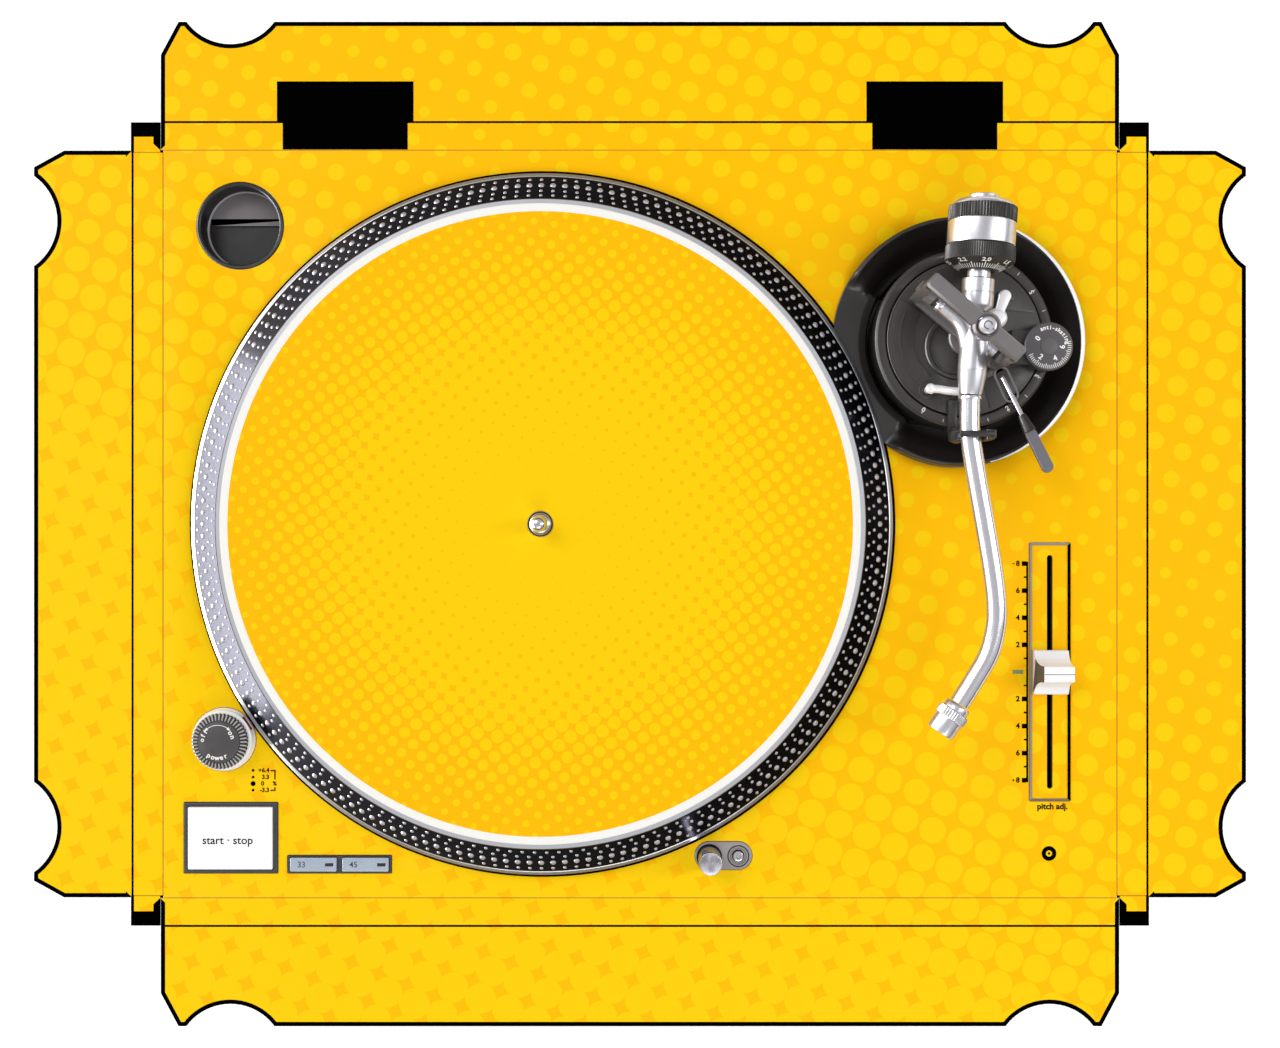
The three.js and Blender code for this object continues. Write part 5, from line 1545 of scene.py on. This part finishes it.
    def add_lifter(self):
        bm = bmesh.new()
        x, y = -17.3, -24.0
        revolve(bm, [(0, -14), (1.6, -14), (1.6, 24.2), (2.3, 24.8), (2.4, 25.8), (1.7, 26.8), (0, 27.1)], (x, y, 0),
                segments=40)
        sweep(bm, smooth_line([(x - 0.6, y, 25), (x + 4, y - 0.2, 25), (x + 9, y - 1.0, 25), (3, -25.9, 25)], 4), 1.9,
              24)
        piece("arm_lifter_bar", bm, "lifter", FINISHES["trim"], ["arm_lifter"], origin=ARM_BASE)

    def add_cue_lever(self):
        at = joint_at("cue_lever_lift")
        turn = Quaternion((0, 0, 1), math.radians(-65.7)) @ Quaternion((0, 1, 0), math.radians(-8))
        rod = bmesh.new()
        sweep(rod, [(0, 0, 0), (0, 0, 2.6), (0.5, 0, 3.5), (1.4, 0, 4), (12, 0, 4), (21, 0, 4)], 1.2, 24)
        piece("cue_lever_rod", rod, "cue_lever", FINISHES["arm"], ["cue_lever"], origin=at, turn=turn)
        bm = bmesh.new()
        revolve(bm, [(0, 20), (1.9, 20), (2.1, 20.6), (3.0, 28.2), (2.6, 28.6), (0, 28.6)], (0, 0, 4), (1, 0, 0),
                segments=48)
        outline = turned_to([(27.2, -2.2), (30, -2.6), (46.6, -2.75)] + arc(46.6, 0, 2.75, -90, 90, 14)
                            + [(30, 2.6), (27.2, 2.2)], True)
        plate(bm, outline, 3.0, 5.35, bevel=0.6, steps=4, material=1)
        piece("cue_lever_paddle", bm, "cue_lever", [FINISHES["black"], FINISHES["paddle"]], origin=at,
              turn=turn)


# ---- Tonearm ----
YOKE_TURN = Quaternion((0, 0, 1), math.radians(-40.5))
REAR = Vector((0.065, 0.998, 0))
TUBE = ((-2.3, -28.5), (-2.2, -45), (0.4, -62.8), (4.2, -84.2), (7.8, -105.7), (9.6, -121), (9.3, -132),
        (6.2, -144.3), (-0.3, -155.9), (-7.1, -166.8))


class TURNTABLE_OT_tonearm(bpy.types.Operator):
    """Makes the gimbal yoke, the S-shaped arm, its counterweight, dial and locking collar"""

    bl_idname = "turntable.tonearm"
    bl_label = "Tonearm"

    def execute(self, context):
        self.line = ARM_BASE + Vector((0, 0, joint_at("tonearm_tilt").z - DECK))
        self.add_yoke()
        self.add_housing()
        self.add_tube()
        self.add_rear()
        self.add_collar()
        return {"FINISHED"}

    def add_yoke(self):
        top = high("arm_yoke").z - DECK
        left, right, half = -31.7, 20.1, 3.7
        bm = bmesh.new()
        bar = [(left + 1.0, -half), (-6.2, -half)] + arc(0, 0, 6.2, 217, 323, 10) + [(6.2, -half), (right - 1.0, -half),
              (right, -half + 1.0), (right, half - 1.0), (right - 1.0, half), (6.2, half)] + arc(0, 0, 6.2, 37, 143,
                                                                                                 10) + [
              (-6.2, half), (left + 1.0, half), (left, half - 1.0), (left, -half + 1.0)]
        bar = [p for i, p in enumerate(bar) if i == 0 or (Vector(p) - Vector(bar[i - 1])).length > 0.05]
        plate(bm, turned_to(bar, True), top - 5, top, [circle(4.25, steps=40)], bevel=1.0, steps=1)
        block(bm, (left, left + 4.2), (-half, half), (20, top - 1), 0.7)
        block(bm, (right - 3.6, right), (-half, half), (20, top - 1), 0.7)
        block(bm, (left, right), (-half, half), (19.6, 23.6), 0.6)
        revolve(bm, [(0, 17.4), (8, 17.4), (8, 20.4), (7.4, 21), (0, 21)], segments=64)
        axis_z = joint_at("tonearm_tilt").z - DECK
        revolve(bm, [(2.0, 0), (4.6, 0), (4.6, 3.4), (4.1, 4.4), (2.0, 4.4)], (left + 3.8, 0, axis_z), (1, 0, 0),
                segments=48)
        revolve(bm, [(0, 0), (3.0, 0), (3.0, 1.2), (2.2, 1.6), (0, 1.6)], (left + 0.3, 0, axis_z), (-1, 0, 0),
                segments=32)
        revolve(bm, [(2.0, 0), (4.4, 0), (4.4, 2.0), (3.9, 2.6), (2.0, 2.6)], (right - 3.2, 0, axis_z), (-1, 0, 0),
                segments=48)
        piece("arm_yoke_frame", bm, "yoke", [FINISHES["yoke"], FINISHES["bright"]], ["arm_yoke"],
              origin=ARM_BASE, turn=YOKE_TURN)
        cap = bmesh.new()
        z = high("yoke_cap_screw").z - DECK
        revolve(cap, [(0, z - 11), (3.9, z - 11), (3.9, z - 0.7), (3.6, z - 0.2), (3.1, z), (2.6, z - 0.1),
                      (0, z - 0.1)],
                segments=64)
        ring = arc(0, 0, 2.0, 40, 320, 24) + arc(0, 0, 1.45, 320, 40, 24)
        ink_shape(cap, turned_to(ring, True), z - 0.1, 0.04, material=1)
        ink_shape(cap, rectangle(2.4, 3.6, -0.22, 0.22), z - 0.12, 0.14, material=1)
        piece("yoke_cap", cap, "yoke", [FINISHES["bright"], FINISHES["grey_ink"]], ["yoke_cap_screw"],
              origin=ARM_BASE, turn=YOKE_TURN)

    def add_housing(self):
        start, front = Vector((0.3, 4, 0)), Vector((-2.2, -28.1, 0))
        bm = bmesh.new()
        profile = [(0, 0), (3.6, 0), (4.9, 0.8), (5.6, 2.6), (6.2, 6), (6.4, 12), (6.4, 20.9), (6.25, 21.05),
                   (6.25, 21.35),
                   (6.4, 21.5), (6.2, 24), (5.6, 28.6), (5.0, 31.6), (4.8, 32.1), (0, 32.1)]
        revolve(bm, profile, start, front - start, segments=96)
        cross = YOKE_TURN @ Vector((1, 0, 0))
        elbow = smooth_line([cross * -20.5, cross * -15, cross * -10, Vector((-4.9, 2.6, 0)), Vector((-3.2, -3.2, 0)),
                             Vector((-2.4, -10, 0)), Vector((-2.0, -15, 0))], 5)
        sweep(bm, elbow, [3.9 + 0.5 * min(1, i / 22) for i in range(len(elbow))], 40)
        revolve(bm, [(0, 0), (3.9, 0), (4.1, 0.3), (4.1, 2.4), (3.9, 2.7), (0, 2.7)], cross * -21.2, cross, segments=48)
        revolve(bm, [(0, 0), (3.4, 0), (3.4, 10.0), (3.9, 10.2), (3.9, 12.6), (3.4, 13), (0, 13)], (0, 0, 0), cross,
                segments=48)
        revolve(bm, [(0, -27.2), (1.6, -27.2), (1.6, 16.2), (0, 16.2)], (0, 0, 0), cross, segments=24)
        for near, far in ((-26.3, -22.0), (13.2, 15.9)):
            revolve(bm, [(1.5, near), (3.3, near), (3.6, near + 0.4), (3.6, far - 0.4), (3.3, far), (1.5, far)],
                    (0, 0, 0), cross, segments=96, material=1, flutes=(24, 0.3, near + 0.3, far - 0.3))
        revolve(bm, [(0, 0), (5.4, 0), (5.4, 8.6), (0, 8.6)], (0, 0, 0), REAR, segments=64)
        piece("arm_housing_shell", bm, "tonearm", [FINISHES["bright"], FINISHES["black"]], ["arm_housing"],
              origin=self.line, crease=38)

    def add_tube(self):
        bm = bmesh.new()
        line = smooth_line([(x, y, 0) for x, y in TUBE], 7)
        sweep(bm, line, 4.6, 56)
        revolve(bm, [(4.5, 0), (5.15, 0), (5.25, 0.2), (5.25, 1.4), (5.1, 1.6), (4.5, 1.6)], (-2.3, -28.6, 0),
                (0, -1, 0),
                segments=64)
        piece("arm_tube_bend", bm, "tonearm", FINISHES["arm"], ["arm_tube"], origin=self.line)

    def add_rear(self):
        axis = Axis((0, 0, 0), REAR)
        bm = bmesh.new()
        revolve(bm, [(0, 9.3), (5.0, 9.3), (5.3, 9.6), (7.0, 11.4), (7.2, 12), (7.2, 17.2), (7.0, 17.4), (7.0, 17.8),
                     (7.2, 18), (7.2, 23.7), (6.9, 24.1), (5.2, 24.2), (5.2, 55), (0, 55)], (0, 0, 0), REAR,
                     segments=96)
        mark_on_cone(bm, axis, (7.2, 20.4), (7.2, 21.0), 0, 2.4)
        piece("rear_shaft", bm, "tonearm", FINISHES["bright"], ["rear_stub"], origin=self.line)
        dial = bmesh.new()
        revolve(dial, [(5.6, 27.5), (8.2, 27.5), (8.7, 27.7), (15.1, 31.3), (15.5, 31.7), (15.6, 32.2), (15.6, 38.1),
                       (15.4, 38.4), (5.6, 38.4)], (0, 0, 0), REAR, segments=384, flutes=(96, 0.45, 32.1, 38.2))
        ink = bmesh.new()
        for i in range(60):
            reach = 0.58 if i % 5 == 0 else 0.42
            far = (8.9 + 6.0 * reach, 27.85 + 3.4 * reach)
            mark_on_cone(ink, axis, (8.9, 27.85), far, i * 6, 0.34 if i % 5 else 0.45)
        for i, text in enumerate(("2.0", "1.5", "1", "0.5", "0", "3", "2.5", "2.2")):
            numeral_on_cone(ink, axis, (12.5, 29.8), (15.0, 31.25), i * 45, text, 3.3)
        piece("force_dial_ring", dial, "force_dial", FINISHES["black"], ["force_dial"],
              origin=self.line)
        piece("force_dial_scale", ink, "force_dial", FINISHES["white_ink"], origin=self.line)
        weight = bmesh.new()
        revolve(weight, [(5.6, 38.8), (14.7, 38.8), (15.0, 39.0), (15.1, 39.4), (15.1, 49.2), (14.7, 49.5),
                         (14.7, 56.4),
                         (14.5, 56.8), (13.0, 58.3), (12.6, 58.5), (7.0, 58.5), (6.9, 58.7), (6.9, 61.2), (6.6, 61.6),
                         (6.2, 61.7), (0, 61.7), (0, 59.4), (5.6, 59.4)], (0, 0, 0), REAR, segments=160)
        piece("counterweight_body", weight, "counterweight", FINISHES["bright"], ["counterweight"],
              origin=self.line)
        band = bmesh.new()
        revolve(band, [(14.6, 49.6), (15.1, 49.6), (15.25, 49.9), (15.25, 55.8), (15.1, 56.2), (14.6, 56.2)],
                (0, 0, 0), REAR,
                segments=384, flutes=(72, 0.55, 49.8, 55.9))
        piece("counterweight_grip", band, "counterweight", FINISHES["black"], origin=self.line)

    def add_collar(self):
        at, along = Vector((-7.3, -167.2, 0)), Vector((-0.566, -0.824, 0))
        bm = bmesh.new()
        revolve(bm, [(0, 0), (5.2, 0), (5.6, 0.4), (6, 1.2), (6, 3.1), (6.9, 3.5), (7.15, 3.9), (7.15, 7.1), (6.9, 7.5),
                     (6.45, 7.8), (6.45, 14.4), (6.2, 15.0), (5.7, 15.2), (4.2, 15.2), (4, 15.0), (4, 4), (0, 4)],
                at, along, segments=192, flutes=(36, 0.45, 3.8, 7.2))
        axis = Axis(at, along)
        mark_on_cone(bm, axis, (6.45, 9.5), (6.45, 14.0), 0, 0.7, 0.05)
        piece("lock_collar_ring", bm, "lock_collar", FINISHES["bright"], ["lock_collar"], origin=self.line)


# ---- Stage ----
class TURNTABLE_OT_stage(bpy.types.Operator):
    """Makes the floor, the soft lights and the camera straight above the deck"""

    bl_idname = "turntable.stage"
    bl_label = "Stage"

    def execute(self, context):
        look = context.scene.turntable_stage
        self.add_card("floor", 30.0, 30.0, (0, 0, 0), (0, 0, 1), FINISHES["floor"])
        cards = [(angle, FINISHES["ink"], 1.3) for angle in (-60, -20, 25, 65, 105, 245, 285)]
        for index, (angle, finish, half) in enumerate(cards + [(182, FINISHES["bright_card"], 1.8)]):
            out = Vector((math.cos(math.radians(angle)), math.sin(math.radians(angle)), 0))
            card = self.add_card("card_%d" % index, half, 0.5, out * 3.2 + Vector((0, 0, 0.6)), -out, finish)
            card.visible_camera = card.visible_diffuse = card.visible_shadow = False
        self.add_light(context, "left", (-2.6, 0.2, 0.9), 2.0, 0.9, look.key_power * 1.0)
        self.add_light(context, "above left", (-1.5, 1.3, 2.3), 1.4, 1.4, look.key_power * 2.6)
        self.add_light(context, "above right", (1.9, 0.2, 1.9), 0.5, 2.2, look.key_power * 2.4)
        self.add_light(context, "front", (0.2, -2.0, 2.2), 1.8, 1.2, look.key_power * 2.0)
        self.make_world(context, look)
        camera = bpy.data.objects.new("camera", bpy.data.cameras.new("camera"))
        context.scene.collection.objects.link(camera)
        camera.location = (0, 0, DECK * MM + look.camera_height)
        camera.data.sensor_width = 36
        camera.data.lens = 36 * look.camera_height / look.view_width
        camera.data.clip_start = 0.01
        context.scene.camera = camera
        context.scene.view_settings.view_transform = "Standard"
        return {"FINISHED"}

    def add_card(self, name, half_width, half_height, place, facing, material):
        """A flat card standing at a place and facing a direction."""
        bm = bmesh.new()
        bmesh.ops.create_grid(bm, x_segments=4, y_segments=4, size=1.0)
        bm.transform(Matrix.Diagonal((half_width, half_height, 1, 1)))
        mesh = bpy.data.meshes.new(name)
        bm.to_mesh(mesh)
        bm.free()
        card = bpy.data.objects.new(name, mesh)
        bpy.context.scene.collection.objects.link(card)
        card.location = place
        card.rotation_mode = "QUATERNION"
        card.rotation_quaternion = Vector(facing).to_track_quat("Z", "Y") if facing[2] < 1 else Quaternion()
        mesh.materials.append(material)
        return card

    def add_light(self, context, name, place, width, height, power):
        data = bpy.data.lights.new(name, "AREA")
        data.shape = "RECTANGLE"
        data.size = width
        data.size_y = height
        data.energy = power
        lamp = bpy.data.objects.new(name, data)
        context.scene.collection.objects.link(lamp)
        lamp.location = place
        lamp.rotation_mode = "QUATERNION"
        lamp.rotation_quaternion = (Vector((0, 0, 0.1)) - Vector(place)).to_track_quat("-Z", "Y")

    def make_world(self, context, look):
        world = bpy.data.worlds.new("studio")
        world.use_nodes = True
        world.node_tree.nodes["Background"].inputs["Color"].default_value = (1, 1, 1, 1)
        world.node_tree.nodes["Background"].inputs["Strength"].default_value = look.sky
        context.scene.world = world


class TURNTABLE_PT_panel(bpy.types.Panel):
    """Lists the steps that build the turntable"""

    bl_label = "Turntable"
    bl_idname = "TURNTABLE_PT_panel"
    bl_space_type = "VIEW_3D"
    bl_region_type = "UI"
    bl_category = "Turntable"

    def draw(self, context):
        layout = self.layout
        for operator in OPERATORS:
            layout.operator(operator.bl_idname)
        for group in ("turntable_wrap", "turntable_platter", "turntable_stage"):
            settings = getattr(context.scene, group)
            box = layout.box()
            for name in settings.__annotations__:
                box.prop(settings, name)


SETTINGS = {
    "turntable_wrap": TurntableWrapSettings,
    "turntable_platter": TurntablePlatterSettings,
    "turntable_stage": TurntableStageSettings,
}
OPERATORS = (
    TURNTABLE_OT_stage, TURNTABLE_OT_plinth, TURNTABLE_OT_feet, TURNTABLE_OT_wrap, TURNTABLE_OT_platter,
    TURNTABLE_OT_well, TURNTABLE_OT_power, TURNTABLE_OT_keys, TURNTABLE_OT_lamp, TURNTABLE_OT_fader,
    TURNTABLE_OT_arm_base, TURNTABLE_OT_tonearm,
)


def register():
    for cls in (*SETTINGS.values(), *OPERATORS, TURNTABLE_PT_panel):
        bpy.utils.register_class(cls)
    for name, group in SETTINGS.items():
        setattr(bpy.types.Scene, name, PointerProperty(type=group))


def unregister():
    for name in SETTINGS:
        delattr(bpy.types.Scene, name)
    for cls in reversed((*SETTINGS.values(), *OPERATORS, TURNTABLE_PT_panel)):
        bpy.utils.unregister_class(cls)


def main():
    register()
    make_finishes()
    for operator in OPERATORS:
        group, action = operator.bl_idname.split(".")
        getattr(getattr(bpy.ops, group), action)()


if __name__ == "__main__":
    main()
